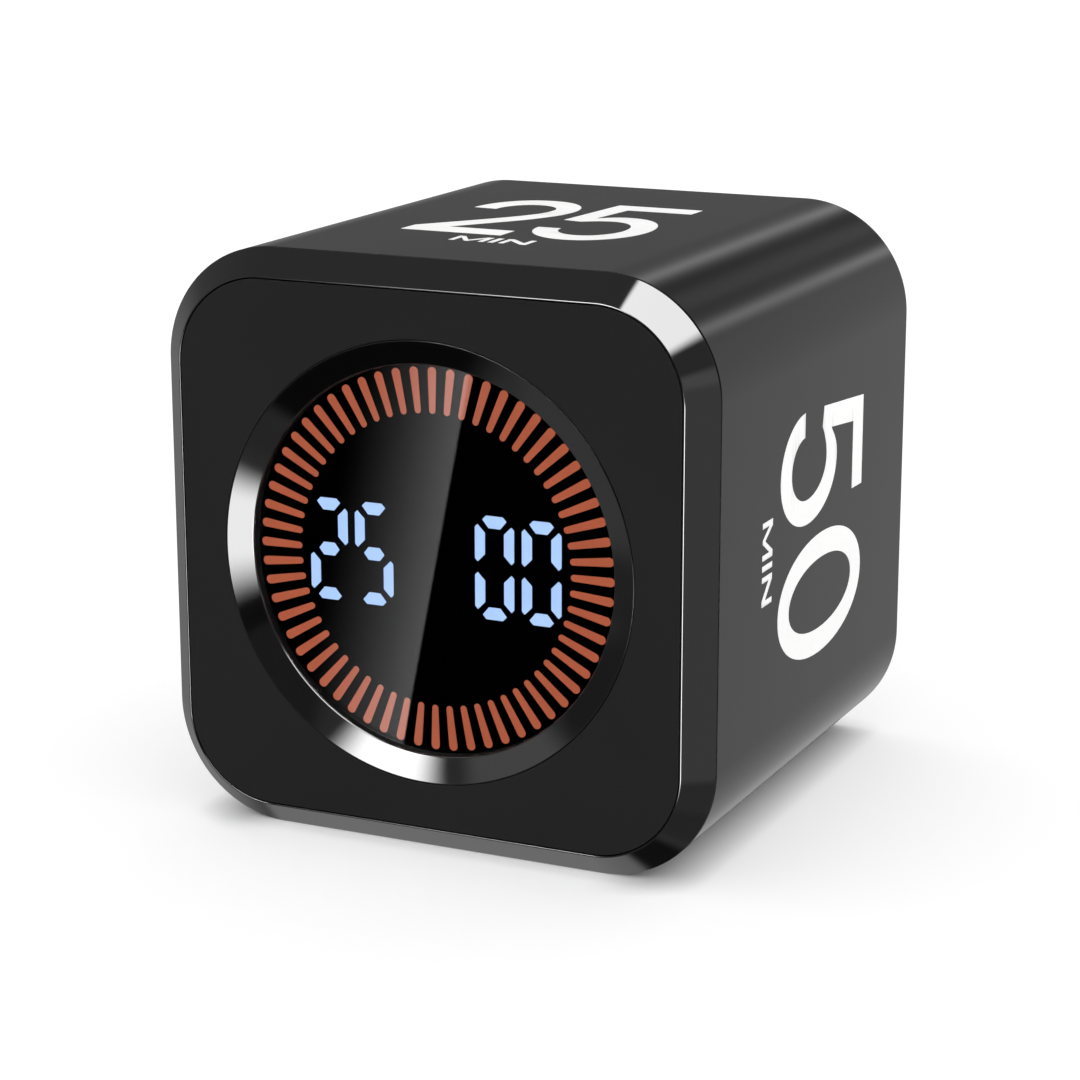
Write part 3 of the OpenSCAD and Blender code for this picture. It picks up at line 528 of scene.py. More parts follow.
def refine(node, width, steps=2, wanted=None):
    """A node's own shape with its sharp edges rounded, in place of the node."""
    bm = bmesh.new()
    bm.from_mesh(frame["nodes"][node].data)
    bmesh.ops.transform(bm, matrix=FRONT_SPACE.inverted(), verts=bm.verts)
    bmesh.ops.remove_doubles(bm, verts=bm.verts, dist=NODE_MERGE)
    bmesh.ops.dissolve_limit(bm, angle_limit=FLAT, verts=bm.verts, edges=bm.edges)
    soften(bm, width, steps, wanted)
    make_piece(node + "_finished", bm, FINISHES[SLOTS[node]], BODIES[node],
               stands_for=(node,))


# ---------------------------------------------------------------- case

def make_sleeve():
    """The black tube round the timer, with a thinner rim at the rear cover."""
    bm = bmesh.new()
    walls(bm, outline, (
        (0, SEAM_BACK), (0, REAR_DEPTH), (RIM_WALL, REAR_DEPTH), (RIM_WALL, COVER_FRONT),
        (SLEEVE_WALL, COVER_FRONT), (SLEEVE_WALL, SEAM_BACK),
    ), closed=True)
    soften(bm, REAR_ROUND, 3, lambda at: at.z > REAR_DEPTH - NEAR)
    soften(bm, SEAM_ROUND, 2, lambda at: at.z < SEAM_BACK + NEAR)
    make_piece("sleeve_shell", bm, FINISHES["sleeve_black"],
               stands_for=("body_sleeve",))


def make_bezel():
    """The bevelled gloss frame, with the plate's pocket, a spigot and the web behind."""
    bm = bmesh.new()
    loops = walls(bm, outline, (
        (POCKET_INSET, PLATE_T), (POCKET_INSET, 0), (BEZEL_BEVEL, 0), (0, BEZEL_BEVEL),
        (0, BAND_BACK), (SEAM_DEPTH, BAND_BACK), (SEAM_DEPTH, SEAM_BACK),
        (SPIGOT_INSET, SEAM_BACK), (SPIGOT_INSET, SPIGOT_BACK), (BORE_INSET, SPIGOT_BACK),
        (BORE_INSET, WEB_BACK),
    ))
    rounds = walls(bm, circle, (
        (WEB_R, WEB_BACK), (WEB_R, RING_BACK), (POCKET_R, RING_BACK), (POCKET_R, PLATE_T),
    ))
    bmesh.ops.triangle_fill(bm, use_beauty=True, edges=loops[-1] + rounds[0])
    bmesh.ops.triangle_fill(bm, use_beauty=True, edges=loops[0] + rounds[-1])
    soften(bm, LIP_ROUND, 4, lambda at: at.z < NEAR)
    soften(bm, BAND_ROUND, 2, lambda at: BEZEL_BEVEL - NEAR < at.z < BAND_BACK + NEAR)
    make_piece("bezel_frame", bm, FINISHES["bezel_gloss"],
               stands_for=("front_bezel",))


def make_plate():
    """The matt plate: narrow flat borders along its edge and its hole keep its shading even."""
    bm = bmesh.new()
    edges = walls(bm, outline, (
        (PLATE_INSET, PLATE_T), (PLATE_INSET, 0), (PLATE_INSET + BORDER, 0),
    ))
    holes = walls(bm, circle, (
        (PLATE_HOLE_R, PLATE_T), (PLATE_HOLE_R, 0), (PLATE_HOLE_R + BORDER, 0),
    ))
    for edge, hole in ((edges[0], holes[0]), (edges[-1], holes[-1])):
        bmesh.ops.triangle_fill(bm, use_beauty=True, edges=edge + hole)
    soften(bm, PLATE_ROUND, 3, lambda at: at.z < NEAR)
    make_piece("plate_panel", bm, FINISHES["plate_matte"],
               stands_for=("front_plate",))


def make_ring():
    """The gloss ring, whose face slopes down to the window."""
    bm = bmesh.new()
    turned(bm, [
        (RING_R, 0), (RING_R - RING_LAND, 0), (WINDOW_R, CONE_DEPTH), (WINDOW_R, RING_BACK),
        (FLANGE_R, RING_BACK), (FLANGE_R, PLATE_T), (RING_R, PLATE_T),
    ])
    soften(bm, CONE_EDGE, 5,
           lambda at: abs(at.z - CONE_DEPTH) < NEAR and at.xy.length < WINDOW_R + NEAR_R)
    soften(bm, RING_ROUND, 2, lambda at: at.z < NEAR)
    make_piece("window_ring", bm, FINISHES["ring_gloss"],
               stands_for=("dial_ring",))


def make_bore_paint():
    """Matt black paint round the window, so that the ring's bore doesn't mirror the bars."""
    inner = WINDOW_R - PRINT_PROUD
    outer = inner + PRINT_T
    start = CONE_DEPTH + CONE_EDGE
    bm = bmesh.new()
    turned(bm, [(inner, start), (inner, LENS_BACK), (outer, LENS_BACK), (outer, start)])
    make_piece("bore_paint", bm, BORE_BLACK)


def make_lens():
    """The smoked disc, seated a little way into the ring so that its side doesn't shine."""
    bm = bmesh.new()
    turned(bm, [(0, LENS_FRONT), (LENS_R, LENS_FRONT), (LENS_R, LENS_BACK), (0, LENS_BACK)])
    soften(bm, LENS_ROUND, 2, lambda at: at.xy.length > LENS_R - NEAR_R)
    make_piece("window_lens", bm, FINISHES["lens_smoked"],
               stands_for=("front_lens",))


def make_button(name, across, body):
    """A dished round button with a flange behind the cover and a stem to its switch."""
    bm = bmesh.new()
    dish = [(BUTTON_R * share, BUTTON_FACE - BUTTON_DISH * (1 - share * share))
            for share in DISH_SHARES]
    turned(bm, [
        (0, STEM_FRONT), (STEM_R, STEM_FRONT), (STEM_R, FLANGE_FRONT),
        (BUTTON_FLANGE_R, FLANGE_FRONT), (BUTTON_FLANGE_R, FLANGE_BACK),
        (BUTTON_R, FLANGE_BACK), (BUTTON_R, BUTTON_FACE), (DISH_R, BUTTON_FACE),
    ] + dish, (across, BUTTON_UP))
    soften(bm, BUTTON_ROUND, 3, lambda at: at.z > BUTTON_FACE - NEAR)
    make_piece(name + "_cap", bm, FINISHES["button_grey"], body,
               stands_for=(name,))


# rounding of the edges behind, in millimetres, and of pieces that are rounded all over
REAR_EDGES = {"rear_cover": 0.12, "charging_socket": 0.08, "switch_cap": 0.15}
ALL_EDGES = {
    "socket_tongue": 0.1, "cover_screws": 0.1, "display_screws": 0.1, "chassis_screws": 0.1,
    "board_screws": 0.1, "battery": 0.6, "battery_plug": 0.25, "battery_pad": 0.15,
    "controller_chip": 0.1, "motion_sensor": 0.08, "power_chips": 0.1, "display_drivers": 0.1,
    "ribbon_sockets": 0.15, "tact_switches": 0.1, "switch_frame": 0.1, "switch_lever": 0.15,
    "speaker_basket": 0.15, "speaker_magnet": 0.25, "motor_can": 0.25, "motor_weight": 0.2,
    "main_board": 0.1, "display_board": 0.1,
}
REAR_ZONE = 0.5


def finish_pieces():
    """Breaks the edges that hands, light and moulds would never meet sharp."""
    for node, width in REAR_EDGES.items():
        refine(node, width, 3, lambda at: at.z > REAR_DEPTH - REAR_ZONE)
    for node, width in ALL_EDGES.items():
        refine(node, width)


# ---------------------------------------------------------------- printed figures and words

def knot(x, y, arrive=0.0, back=0.0, ahead=0.0, leave=None):
    """A point of an outline: where it is, its headings in degrees and its handles' lengths."""
    leave = arrive if leave is None else leave
    return x, y, arrive, back, leave, ahead


FIVE = [[
    knot(1.42, 24.75), knot(11.05, 24.75), knot(11.0, 21.65), knot(3.72, 21.65),
    knot(3.0, 14.8, 0, 0, 1.3, 40), knot(6.2, 16.63, 0, 1.7, 3.1),
    knot(11.83, 8.2, -90, 4.7, 4.4), knot(5.95, 0.17, 180, 3.3, 3.2),
    knot(0.05, 6.95, 92, 3.7), knot(2.6, 6.95, 0, 0, 2.0, -88),
    knot(5.85, 3.3, 0, 1.75, 1.9), knot(9.24, 7.95, 90, 2.5, 3.1), knot(5.65, 13.5, 180, 2.0, 1.4),
    knot(2.46, 12.13, 217, 0.9), knot(0.37, 12.54),
]]
TWO = [[
    knot(0.05, 17.1, 0, 0, 4.6, 88), knot(5.9, 24.85, 0, 3.3, 3.1),
    knot(11.36, 18.3, -90, 3.5, 1.6), knot(10.5, 13.85, -112, 1.5, 1.5),
    knot(8.2, 9.5, -124, 1.8, 1.6), knot(3.9, 3.3, -126, 1.0),
    knot(11.4, 3.3), knot(11.4, 0), knot(0.05, 0), knot(0.15, 3.05, 0, 0, 1.0, 50),
    knot(6.1, 11.1, 56, 2.6, 1.5), knot(8.2, 14.75, 66, 1.4, 1.2), knot(8.9, 18.1, 90, 1.3, 1.8),
    knot(5.9, 21.4, 180, 1.7, 1.9), knot(2.7, 16.9, -90, 2.4),
]]
ZERO_OUT = (6.45, 12.5)
ZERO_IN = (3.78, 9.34)
ZERO_PULL = 0.575


def oval(half_w, half_h):
    """The four knots of a slightly squared oval whose box starts at zero."""
    side = half_h * ZERO_PULL
    flat = half_w * ZERO_PULL
    x, y = ZERO_OUT
    return [
        knot(x + half_w, y, 90, side, side), knot(x, y + half_h, 180, flat, flat),
        knot(x - half_w, y, -90, side, side), knot(x, y - half_h, 0, flat, flat),
    ]


ZERO = [oval(*ZERO_OUT), oval(*ZERO_IN)]
ONE = [[
    knot(3.9, 0), knot(3.9, 20.1), knot(0.6, 18.2), knot(0.6, 21.5), knot(5.6, 24.75),
    knot(7.0, 24.75), knot(7.0, 0),
]]
LETTER_M = [[
    knot(0, 0), knot(0, 2.75), knot(0.68, 2.75), knot(1.92, 0.75), knot(3.16, 2.75),
    knot(3.84, 2.75), knot(3.84, 0), knot(3.26, 0), knot(3.26, 1.88), knot(2.13, 0.06),
    knot(1.71, 0.06), knot(0.58, 1.88), knot(0.58, 0),
]]
LETTER_I = [[knot(0, 0), knot(0, 2.75), knot(0.6, 2.75), knot(0.6, 0)]]
LETTER_N = [[
    knot(0, 0), knot(0, 2.75), knot(0.62, 2.75), knot(2.46, 0.92), knot(2.46, 2.75),
    knot(3.04, 2.75), knot(3.04, 0), knot(2.42, 0), knot(0.58, 1.83), knot(0.58, 0),
]]
# each letter or figure with its distance from the face's middle, along the reading direction
MIN_LETTERS = ((LETTER_M, -4.2), (LETTER_I, 0.16), (LETTER_N, 1.32))
FIGURES = {
    "top": ((TWO, -12.0), (FIVE, 0.35)),
    "right": ((FIVE, -13.1), (ZERO, 0.5)),
    "left": ((FIVE, -5.9),),
    "under": ((ONE, -10.6), (ZERO, -1.4)),
}
FIGURE_FOOT = -10.0
MIN_FOOT = -14.6
LEGEND_FOOT = 17.4
LEGEND_SIZE = 2.6
SWITCH_ACROSS = 10.5
SWITCH_THROW = 3.2
SWITCH_LEGEND_FOOT = -8.6
SMALL_SIZE = 2.0
SIGN_FOOT = LEGEND_FOOT + LEGEND_SIZE * 0.35
CURVE_STEPS = 14
WORD_STEPS = 6
PLAY_SIGN = [
    [knot(-1.3, -0.75), knot(-1.3, 0.75), knot(-0.05, 0)],
    [knot(0.3, -0.75), knot(0.3, 0.75), knot(0.6, 0.75), knot(0.6, -0.75)],
    [knot(0.9, -0.75), knot(0.9, 0.75), knot(1.2, 0.75), knot(1.2, -0.75)],
]

# each face's frame: the way the figures read, the way they stand, and the face's middle
FACES = {
    "top": (Vector((1, 0, 0)), Vector((0, 1, 0)), Vector((0, 0, MIDDLE_Z + HALF))),
    "right": (Vector((0, 0, -1)), Vector((0, 1, 0)), Vector((HALF, 0, MIDDLE_Z))),
    "left": (Vector((0, 0, 1)), Vector((0, 1, 0)), Vector((-HALF, 0, MIDDLE_Z))),
    "under": (Vector((-1, 0, 0)), Vector((0, 1, 0)), Vector((0, 0, MIDDLE_Z - HALF))),
    "rear": (Vector((-1, 0, 0)), Vector((0, 0, 1)), Vector((0, FRONT_Y + REAR_DEPTH, MIDDLE_Z))),
}


def face_space(face):
    """The matrix that lays a flat drawing in millimetres on a face."""
    reading, up, middle = FACES[face]
    turn = Matrix((reading, up, reading.cross(up))).transposed().to_4x4()
    return Matrix.Scale(MM, 4) @ Matrix.Translation(middle) @ turn


def mesh_of(curve):
    """The mesh that a curve or text makes."""
    carrier = bpy.data.objects.new("drawing", curve)
    bpy.context.scene.collection.objects.link(carrier)
    graph = bpy.context.evaluated_depsgraph_get()
    mesh = bpy.data.meshes.new_from_object(carrier.evaluated_get(graph))
    bpy.data.objects.remove(carrier)
    return mesh


def heading(degrees):
    """The direction of a handle."""
    return Vector((math.cos(math.radians(degrees)), math.sin(math.radians(degrees)), 0))


def print_on(name, face, drawings):
    """Lays ink on a face. A drawing is a list of outlines and the place of its foot."""
    curve = bpy.data.curves.new(name, "CURVE")
    curve.dimensions = "2D"
    curve.fill_mode = "BOTH"
    curve.extrude = PRINT_T / 2
    for outlines, x0, y0 in drawings:
        for knots in outlines:
            spline = curve.splines.new("BEZIER")
            spline.bezier_points.add(len(knots) - 1)
            spline.use_cyclic_u = True
            spline.resolution_u = CURVE_STEPS
            for point, (x, y, arrive, back, leave, ahead) in zip(spline.bezier_points, knots):
                at = Vector((x + x0, y + y0, 0))
                point.handle_left_type = "FREE"
                point.handle_right_type = "FREE"
                point.co = at
                point.handle_left = at - back * heading(arrive)
                point.handle_right = at + ahead * heading(leave)
    finish_print(name, curve, face, 0, 0)


def finish_print(name, drawing, face, x, y):
    """Makes a flat drawing a thin closed layer on a face."""
    bm = bmesh.new()
    bm.from_mesh(mesh_of(drawing))
    lift = Matrix.Translation((x, y, PRINT_PROUD - PRINT_T / 2))
    make_piece(name, bm, PRINT_WHITE_GLOWING, space=face_space(face) @ lift)


def print_word(name, word, face, x, y, height):
    """A plain word in the plain built-in letters, centred on a place."""
    text = bpy.data.curves.new(name, "FONT")
    text.body = word
    text.size = height
    text.align_x = "CENTER"
    text.extrude = PRINT_T / 2
    text.resolution_u = WORD_STEPS
    finish_print(name, text, face, x, y)


def make_prints():
    """The minutes on four faces, and the legends of the controls behind."""
    unit = [(letter, x, MIN_FOOT) for letter, x in MIN_LETTERS]
    for face, figures in FIGURES.items():
        number = [(figure, x, FIGURE_FOOT) for figure, x in figures]
        print_on(face + "_minutes", face, number + unit)
    print_word("minutes_legend", "MIN", "rear", -BUTTON_PITCH, LEGEND_FOOT, LEGEND_SIZE)
    print_word("seconds_legend", "SEC", "rear", 0, LEGEND_FOOT, LEGEND_SIZE)
    print_on("start_legend", "rear", [(PLAY_SIGN, BUTTON_PITCH, SIGN_FOOT)])
    print_word("sound_off_legend", "OFF", "rear", SWITCH_ACROSS - SWITCH_THROW, SWITCH_LEGEND_FOOT,
               SMALL_SIZE)
    print_word("sound_on_legend", "ON", "rear", SWITCH_ACROSS + SWITCH_THROW, SWITCH_LEGEND_FOOT,
               SMALL_SIZE)


# ---------------------------------------------------------------- floor and studio

# the floor: its drop under the timer in millimetres, and its width in metres
FLOOR_DROP = 0.02
FLOOR_SIZE = 6.0
FLOOR_WHITE = 0.62
# the light it adds as the camera sees it, and as the timer does
FLOOR_LIFT = 0.48
FLOOR_GLOW = 0.33
# where its painted contact shade ends, and the stretch before the front where that shade is
# painted out again
CONTACT_REACH = 4.0
CONTACT_SAMPLES = 4
CONTACT_FRONT = FRONT_Y + BEZEL_BEVEL
PAINTED_LIGHT_AHEAD = (CONTACT_FRONT - 0.6, CONTACT_FRONT + 1.0)
PAINTED_LIGHT_SIDE = (HALF - CORNER_R - 1, HALF - CORNER_R + 6)
# the dark sheet under the timer, painted shade seen only in reflections: its half width and its
# front edge
PAINTED_SHADE_BLACK = (0.01, 0.01, 0.01)
CONTACT_EDGE = 24.5
CONTACT_START = CONTACT_FRONT + 2.5
# the board round the front: its gap to the body, its reach, its shine and the shine's spans
FLAG_GAP = 0.2
FLAG_REACH = 120.0
FLAG_SHINE = 1.3
SHINE_ACROSS = (-55, -22)
SHINE_FADE = (-90, -55)
SHINE_UP = (40, 80)
# the studio's light on matt surfaces, and on gloss ones where no card or strip is
AMBIENT = 1.0
STUDIO_BASE = 0.2
# how squarely a direction faces a card before the card can show
FACING = 0.05


def new_sheet(name, bm, material):
    """A flat part of the stage, made of a bmesh."""
    mesh = bpy.data.meshes.new(name)
    bm.to_mesh(mesh)
    bm.free()
    mesh.materials.append(material)
    sheet = bpy.data.objects.new(name, mesh)
    bpy.context.scene.collection.objects.link(sheet)
    return sheet


def show_in_gloss_only(sheet):
    """Leaves a sheet to reflections alone."""
    sheet.visible_camera = False
    sheet.visible_diffuse = False
    sheet.visible_transmission = False
    sheet.visible_shadow = False


def matt_material(name, level):
    """A plain matt grey that can give light of its own, with its Object coordinates split."""
    material, tree, shader, spot = new_material(name)
    shader.inputs["Roughness"].default_value = 1.0
    shader.inputs["Specular IOR Level"].default_value = 0.0
    shader.inputs["Base Color"].default_value = tone((level,) * 3)
    shader.inputs["Emission Color"].default_value = tone((1.0,) * 3)
    return material, tree, shader, add(tree, "ShaderNodeSeparateXYZ", {0: spot}).outputs


def make_floor():
    """A plain white floor that keeps its shadow and reaches white away from the timer. The shadow
    is partly real and partly painted: the light the floor gives the camera is darkened near the
    timer by an occlusion test, which is painted contact shade, and that shade is painted out in
    front of the timer.
    """
    bm = bmesh.new()
    bmesh.ops.create_grid(bm, x_segments=1, y_segments=1, size=FLOOR_SIZE / 2,
                          matrix=Matrix.Translation((0, 0, -FLOOR_DROP * MM)))
    material, tree, shader, place = matt_material("white_floor", FLOOR_WHITE)
    seen = add(tree, "ShaderNodeLightPath").outputs["Is Camera Ray"]
    # painted contact shade: an occlusion test that darkens the light the floor gives the camera
    # near the timer
    contact = add(tree, "ShaderNodeAmbientOcclusion", {"Distance": CONTACT_REACH * MM},
                  samples=CONTACT_SAMPLES)
    # painted light: in front of the timer the painted contact shade is taken out
    ahead = ramped_mm(tree, place["Y"], PAINTED_LIGHT_AHEAD, 1, 0)
    between = ramped_mm(tree, maths(tree, "ABSOLUTE", place["X"]), PAINTED_LIGHT_SIDE, 1, 0)
    front = maths(tree, "MULTIPLY", ahead, between)
    painted_shade_and_front_light = add(tree, "ShaderNodeMix", {
        0: front, 2: contact.outputs["AO"], 3: 1.0,
    }).outputs[0]
    lift = maths(tree, "MULTIPLY", painted_shade_and_front_light, FLOOR_LIFT)
    glow = add(tree, "ShaderNodeMix", {0: seen, 2: FLOOR_GLOW, 3: lift}).outputs[0]
    tree.links.new(glow, shader.inputs["Emission Strength"])
    floor = new_sheet("floor", bm, material)
    floor.visible_glossy = False
    floor.visible_transmission = False


def make_contact():
    """A dark sheet under the timer, seen only in reflections: painted shade for its polished lower
    edges to reflect.
    """
    half_depth = (SLEEVE_HIGH.y / MM - CONTACT_START) / 2
    middle = Matrix.Translation((0, (CONTACT_START + half_depth) * MM, 0))
    spread = Matrix.Diagonal((CONTACT_EDGE * MM, half_depth * MM, 1, 1))
    bm = bmesh.new()
    bmesh.ops.create_grid(bm, x_segments=1, y_segments=1, size=1, matrix=middle @ spread)
    contact = new_sheet("contact", bm, surface("painted_shade_dark", PAINTED_SHADE_BLACK, 1.0, specular=0.0))
    show_in_gloss_only(contact)


def make_flags():
    """A board round the timer's front that keeps the front cards off its sides. It is seen
    only from behind, and shines a little at the upper left."""
    bm = bmesh.new()
    walls(bm, outline, ((-FLAG_GAP, BEZEL_BEVEL), (-FLAG_REACH, BEZEL_BEVEL)))
    bmesh.ops.transform(bm, matrix=FRONT_SPACE, verts=bm.verts)
    bm.normal_update()
    bmesh.ops.reverse_faces(bm, faces=[face for face in bm.faces if face.normal.y < 0])
    material, tree, shader, place = matt_material("flag_board", 0.0)
    beside = ramped_mm(tree, place["X"], SHINE_ACROSS, 1, 0)
    near = ramped_mm(tree, place["X"], SHINE_FADE)
    above = ramped_mm(tree, place["Z"], SHINE_UP)
    shine = maths(tree, "MULTIPLY", maths(tree, "MULTIPLY", beside, near), above)
    level = maths(tree, "MULTIPLY_ADD", shine, FLAG_SHINE, STUDIO_BASE)
    tree.links.new(level, shader.inputs["Emission Strength"])
    passed = add(tree, "ShaderNodeNewGeometry").outputs["Backfacing"]
    tree.links.new(maths(tree, "SUBTRACT", 1.0, passed), shader.inputs["Alpha"])
    flags = new_sheet("flags", bm, material)
    show_in_gloss_only(flags)


def make_card_group():
    """One soft-edged card of the studio: its level covers what was there before."""
    tree, given, out = new_group("studio_card", {
        "Below": 0.0, "Direction": (0.0, 0.0, 1.0), "Centre": (0.0, 0.0, 1.0),
        "Across": (1.0, 0.0, 0.0), "Up": (0.0, 1.0, 0.0), "Width": 0.1, "Height": 0.1,
        "Soft Left": 0.01, "Soft Right": 0.01, "Soft Height": 0.01, "Level": 1.0,
    }, {"Level": "NodeSocketFloat"})

    def reach(axis):
        return add(tree, "ShaderNodeVectorMath", {0: given["Direction"], 1: given[axis]},
                   operation="DOT_PRODUCT").outputs["Value"]

    def faded(value, edge, soft):
        low = maths(tree, "SUBTRACT", given[edge], given[soft])
        high = maths(tree, "ADD", given[edge], given[soft])
        return ramped(tree, value, low, high, 1.0, 0.0)

    facing = reach("Centre")
    depth = maths(tree, "MAXIMUM", facing, FACING)
    along = maths(tree, "DIVIDE", reach("Across"), depth)
    rise = maths(tree, "DIVIDE", reach("Up"), depth)
    mask = maths(tree, "GREATER_THAN", facing, FACING)
    for part in (faded(maths(tree, "MULTIPLY", along, -1.0), "Width", "Soft Left"),
                 faded(along, "Width", "Soft Right"),
                 faded(maths(tree, "ABSOLUTE", rise), "Height", "Soft Height")):
        mask = maths(tree, "MULTIPLY", mask, part)
    change = maths(tree, "SUBTRACT", given["Level"], given["Below"])
    tree.links.new(maths(tree, "MULTIPLY_ADD", mask, change, given["Below"]), out["Level"])
    return tree


# a card: its middle's direction, the direction of its width, half width and half height in
# degrees, softness at left, right and height in degrees, and its level
CARDS = (
    ("left_wall", (-0.82, 0.52, -0.28), (0, 0, 1), 24.5, 24, 12, 14, 10, 0.365),
    ("floor_left", (-0.30, 0.30, -0.91), (-1, 0.2, 0.5), 14, 14, 4, 4, 6, 0.64),
    ("under_dark", (0.12, 0.08, -0.98), (1, 0, 0), 10, 16, 3, 4, 6, 0.033),
    ("under_right", (0.52, -0.14, -0.84), (1, 0, 0.6), 10, 16, 4, 4, 6, 0.15),
    ("right_front", (0.90, -0.37, -0.16), (0, 0, 1), 14, 18, 4, 4, 6, 0.375),
    ("right_strip", (0.90, -0.41, 0.14), (0, 0, 1), 5, 18, 3, 3, 6, 0.55),
    ("top_softbox", (0.34, -0.48, 0.80), (-0.79, 0.14, 0.41), 26, 18, 5.5, 2.2, 3, 8.3),
    ("cone_left", (-0.91, -0.33, -0.27), (0, 0, 1), 5, 8, 2, 2, 3, 0.12),
    ("cone_low_left", (-0.80, -0.31, -0.51), (0.5, 0, -0.8), 11, 8, 3, 2, 3, 0.27),
    ("front_low_dark", (-0.287, -0.564, -0.769), (0.48, -0.29, 0.02), 22.5, 10, 5, 3, 3, 0.015),
    ("front_low_grey", (0.10, -0.80, -0.60), (0.08, -0.05, 0.08), 4, 10, 3, 1, 3, 0.17),
    ("front_grey", (0.13, -0.98, 0.13), (0, 0, 1), 12, 10, 2, 2, 3, 0.09),
    ("front_dark", (0.24, -0.97, -0.02), (0, 0, 1), 4, 10, 1, 1, 3, 0.025),
    ("front_low_card", (0.33, -0.89, -0.30), (0.06, -0.08, 0.35), 9.9, 13, 4.5, 5.7, 3, 8.5),
    ("lip_card", (0.56, -0.78, -0.27), (0.1, -0.1, 1), 7, 7, 3, 3, 2, 25.0),
    ("cone_upper_left", (-0.87, -0.45, -0.05), (0, 0.3, 1), 9, 8, 2, 2, 3, 0.09),
    ("cone_upper_mid", (-0.70, -0.66, 0.26), (-0.2, 0.2, -0.1), 10, 8, 3, 3, 3, 0.53),
    ("front_upper_card", (-0.28, -0.84, 0.46), (0.5, -0.18, -0.02), 9.2, 13, 4.5, 4.5, 3, 11.0),
    ("top_lip_card", (-0.31, -0.67, 0.68), (1, 0, 0.3), 8, 6, 3, 3, 2, 25.0),
    ("window_flag", (-0.41, -0.88, -0.25), (-1, 0.5, 0), 9, 9, 2, 2, 2, 0.0),
)
# the card that the lens shows: a straight hard edge, and a long fall to nothing
LENS_CARD_TOP = Vector((-0.437, -0.878, -0.196))
LENS_CARD_FOOT = Vector((-0.4435, -0.8395, -0.3147))
LENS_CARD_SPAN = 2.25
LENS_CARD_HARD = 0.07
LENS_CARD_TALL = 7.0
LENS_CARD_EASE = 0.8
LENS_CARD_LEVEL = 1.48

# the ring of strips behind the timer, as (angle round the front-to-back axis, level)
REAR_STRIPS = (
    (-180, 0.26), (-150, 0.33), (-135, 0.38), (-117, 0.56), (-108, 0.60), (-89, 0.53),
    (-62, 0.48), (-20, 0.47), (27, 0.44), (36, 0.37), (41, 0.75), (45.5, 1.25), (50, 0.65),
    (55, 0.25), (65, 0.17), (74, 0.28), (84, 0.24), (93, 0.11), (102, 0.08), (110, 0.2),
    (115, 0.62), (119, 1.05), (124, 0.55), (128, 0.24), (140, 0.165), (152, 0.17), (163, 0.15),
    (172, 0.22), (180, 0.26),
)
# where the ring of strips starts and ends, by the share of a direction that points backwards
STRIPS_START = (0.78, 0.86)
STRIPS_END = (0.975, 0.99)


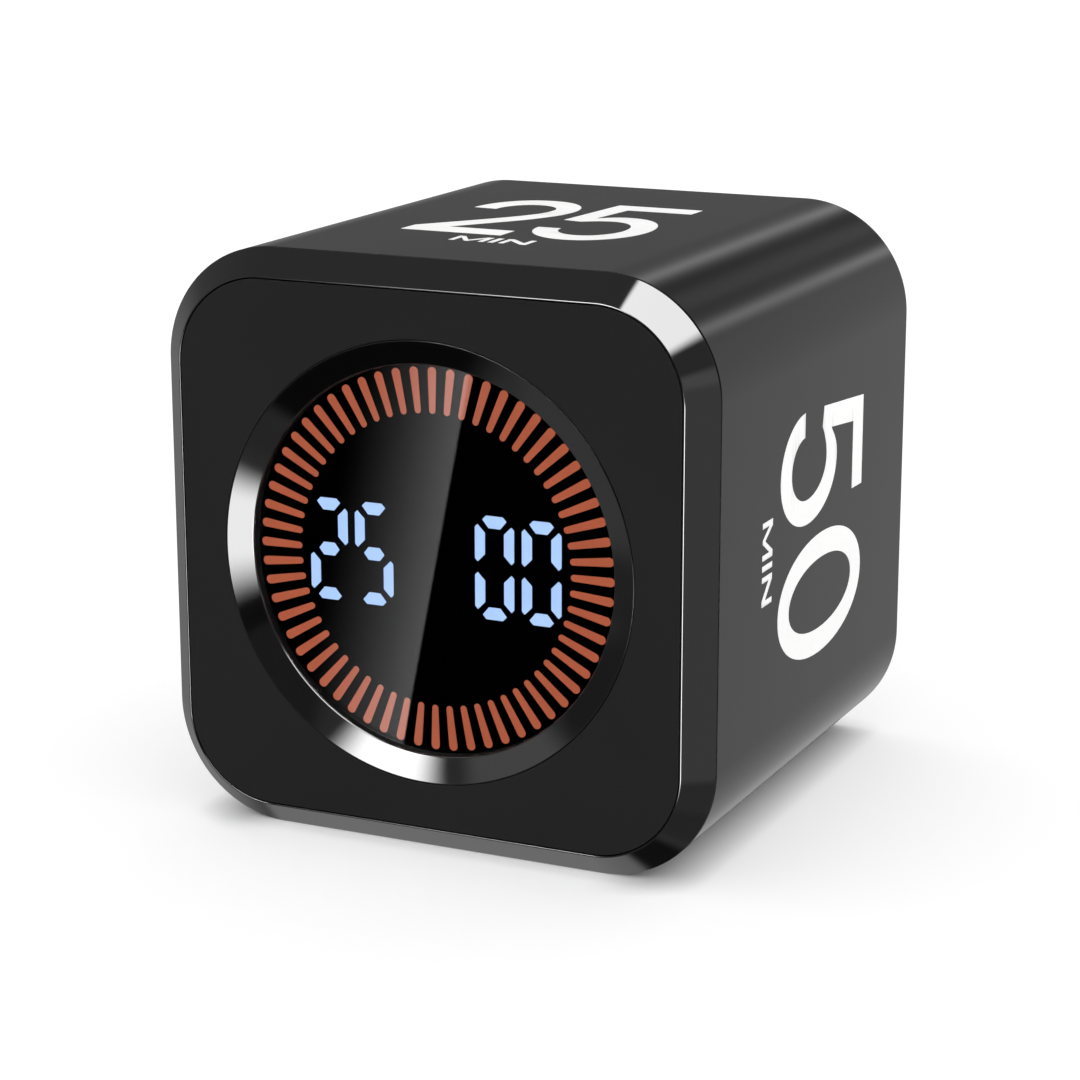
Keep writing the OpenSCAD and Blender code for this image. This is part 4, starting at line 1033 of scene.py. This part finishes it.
def make_studio():
    """White to the camera, even light for matt surfaces, cards and strips for gloss ones."""
    world = bpy.data.worlds.new("studio")
    bpy.context.scene.world = world
    world.use_nodes = True
    world.cycles.sampling_method = "NONE"
    tree = world.node_tree
    tree.nodes.clear()
    direction = add(tree, "ShaderNodeTexCoord").outputs["Generated"]
    split = add(tree, "ShaderNodeSeparateXYZ", {0: direction}).outputs

    angle = maths(tree, "ARCTAN2", split["Z"], split["X"])
    turn = add(tree, "ShaderNodeValToRGB", {
        "Fac": ramped(tree, angle, -math.pi, math.pi, smooth=False),
    })
    stops = turn.color_ramp.elements
    while len(stops) < len(REAR_STRIPS):
        stops.new(0.5)
    for stop, (degrees, level) in zip(stops, REAR_STRIPS):
        stop.position = (degrees + 180) / 360
        stop.color = tone((level,) * 3)
    near = ramped(tree, split["Y"], *STRIPS_START)
    far = ramped(tree, split["Y"], *STRIPS_END, 1.0, 0.0)
    behind = maths(tree, "MULTIPLY", near, far)
    change = maths(tree, "SUBTRACT", turn.outputs["Color"], STUDIO_BASE)
    level = maths(tree, "MULTIPLY_ADD", change, behind, STUDIO_BASE)

    group = make_card_group()

    def dot(axis):
        return add(tree, "ShaderNodeVectorMath", {0: direction, 1: axis},
                   operation="DOT_PRODUCT").outputs["Value"]

    def card(below, centre, across, width, height, left, right, tall, value):
        centre = centre.normalized()
        across = (across - centre * across.dot(centre)).normalized()
        return use_group(tree, group, {
            "Below": below, "Direction": direction, "Centre": centre, "Across": across,
            "Up": centre.cross(across), "Width": math.tan(math.radians(width)),
            "Height": math.tan(math.radians(height)), "Soft Left": math.radians(left),
            "Soft Right": math.radians(right), "Soft Height": math.radians(tall), "Level": value,
        })["Level"]

    for _, centre, across, *rest in CARDS:
        level = card(level, Vector(centre), Vector(across), *rest)
    upright = LENS_CARD_TOP - LENS_CARD_FOOT
    edge = (LENS_CARD_TOP + LENS_CARD_FOOT).normalized()
    outward = edge.cross(upright).normalized()
    if outward.x > 0:
        outward = -outward
    facing = maths(tree, "MAXIMUM", dot(edge), FACING)
    along = maths(tree, "DIVIDE", dot(outward), facing)
    rise = maths(tree, "ABSOLUTE", maths(tree, "DIVIDE", dot(edge.cross(outward)), facing))
    fall = ramped(tree, along, 0, math.radians(LENS_CARD_SPAN), 1, 0, smooth=False)
    shown = maths(tree, "MULTIPLY", fall, fall)
    shown = maths(tree, "MULTIPLY", shown, ramped(tree, along, 0, math.radians(LENS_CARD_HARD)))
    tall = math.radians(LENS_CARD_TALL)
    shown = maths(tree, "MULTIPLY", shown, ramped(tree, rise, LENS_CARD_EASE * tall, tall, 1, 0))
    level = maths(tree, "MULTIPLY_ADD", shown, LENS_CARD_LEVEL, level)

    light_path = add(tree, "ShaderNodeLightPath").outputs
    shiny = maths(tree, "MAXIMUM", light_path["Is Glossy Ray"], light_path["Is Transmission Ray"])
    strength = add(tree, "ShaderNodeMix", {0: shiny, 2: AMBIENT, 3: level}).outputs[0]
    strength = add(tree, "ShaderNodeMix", {
        0: light_path["Is Camera Ray"], 2: strength, 3: 1.0,
    }).outputs[0]
    background = add(tree, "ShaderNodeBackground", {
        "Color": tone((1.0,) * 3), "Strength": strength,
    })
    output = add(tree, "ShaderNodeOutputWorld")
    tree.links.new(background.outputs[0], output.inputs["Surface"])


# ---------------------------------------------------------------- the timer

def dress_nodes():
    """Gives every frame node the finish of its material slot."""
    for part in frame["record"]["subparts"]:
        skin = frame["nodes"][part["node"]].data
        skin.materials.clear()
        skin.materials.append(FINISHES[part["material_slot"]])


set_camera()
dress_nodes()
make_sleeve()
make_bezel()
make_plate()
make_ring()
make_bore_paint()
make_lens()
make_button("minutes_button", BUTTON_PITCH, "minutes_key")
make_button("seconds_button", 0.0, "seconds_key")
make_button("start_button", -BUTTON_PITCH, "start_key")
finish_pieces()
make_prints()
make_floor()
make_contact()
make_flags()
make_studio()

bpy.context.scene.view_settings.view_transform = "Standard"
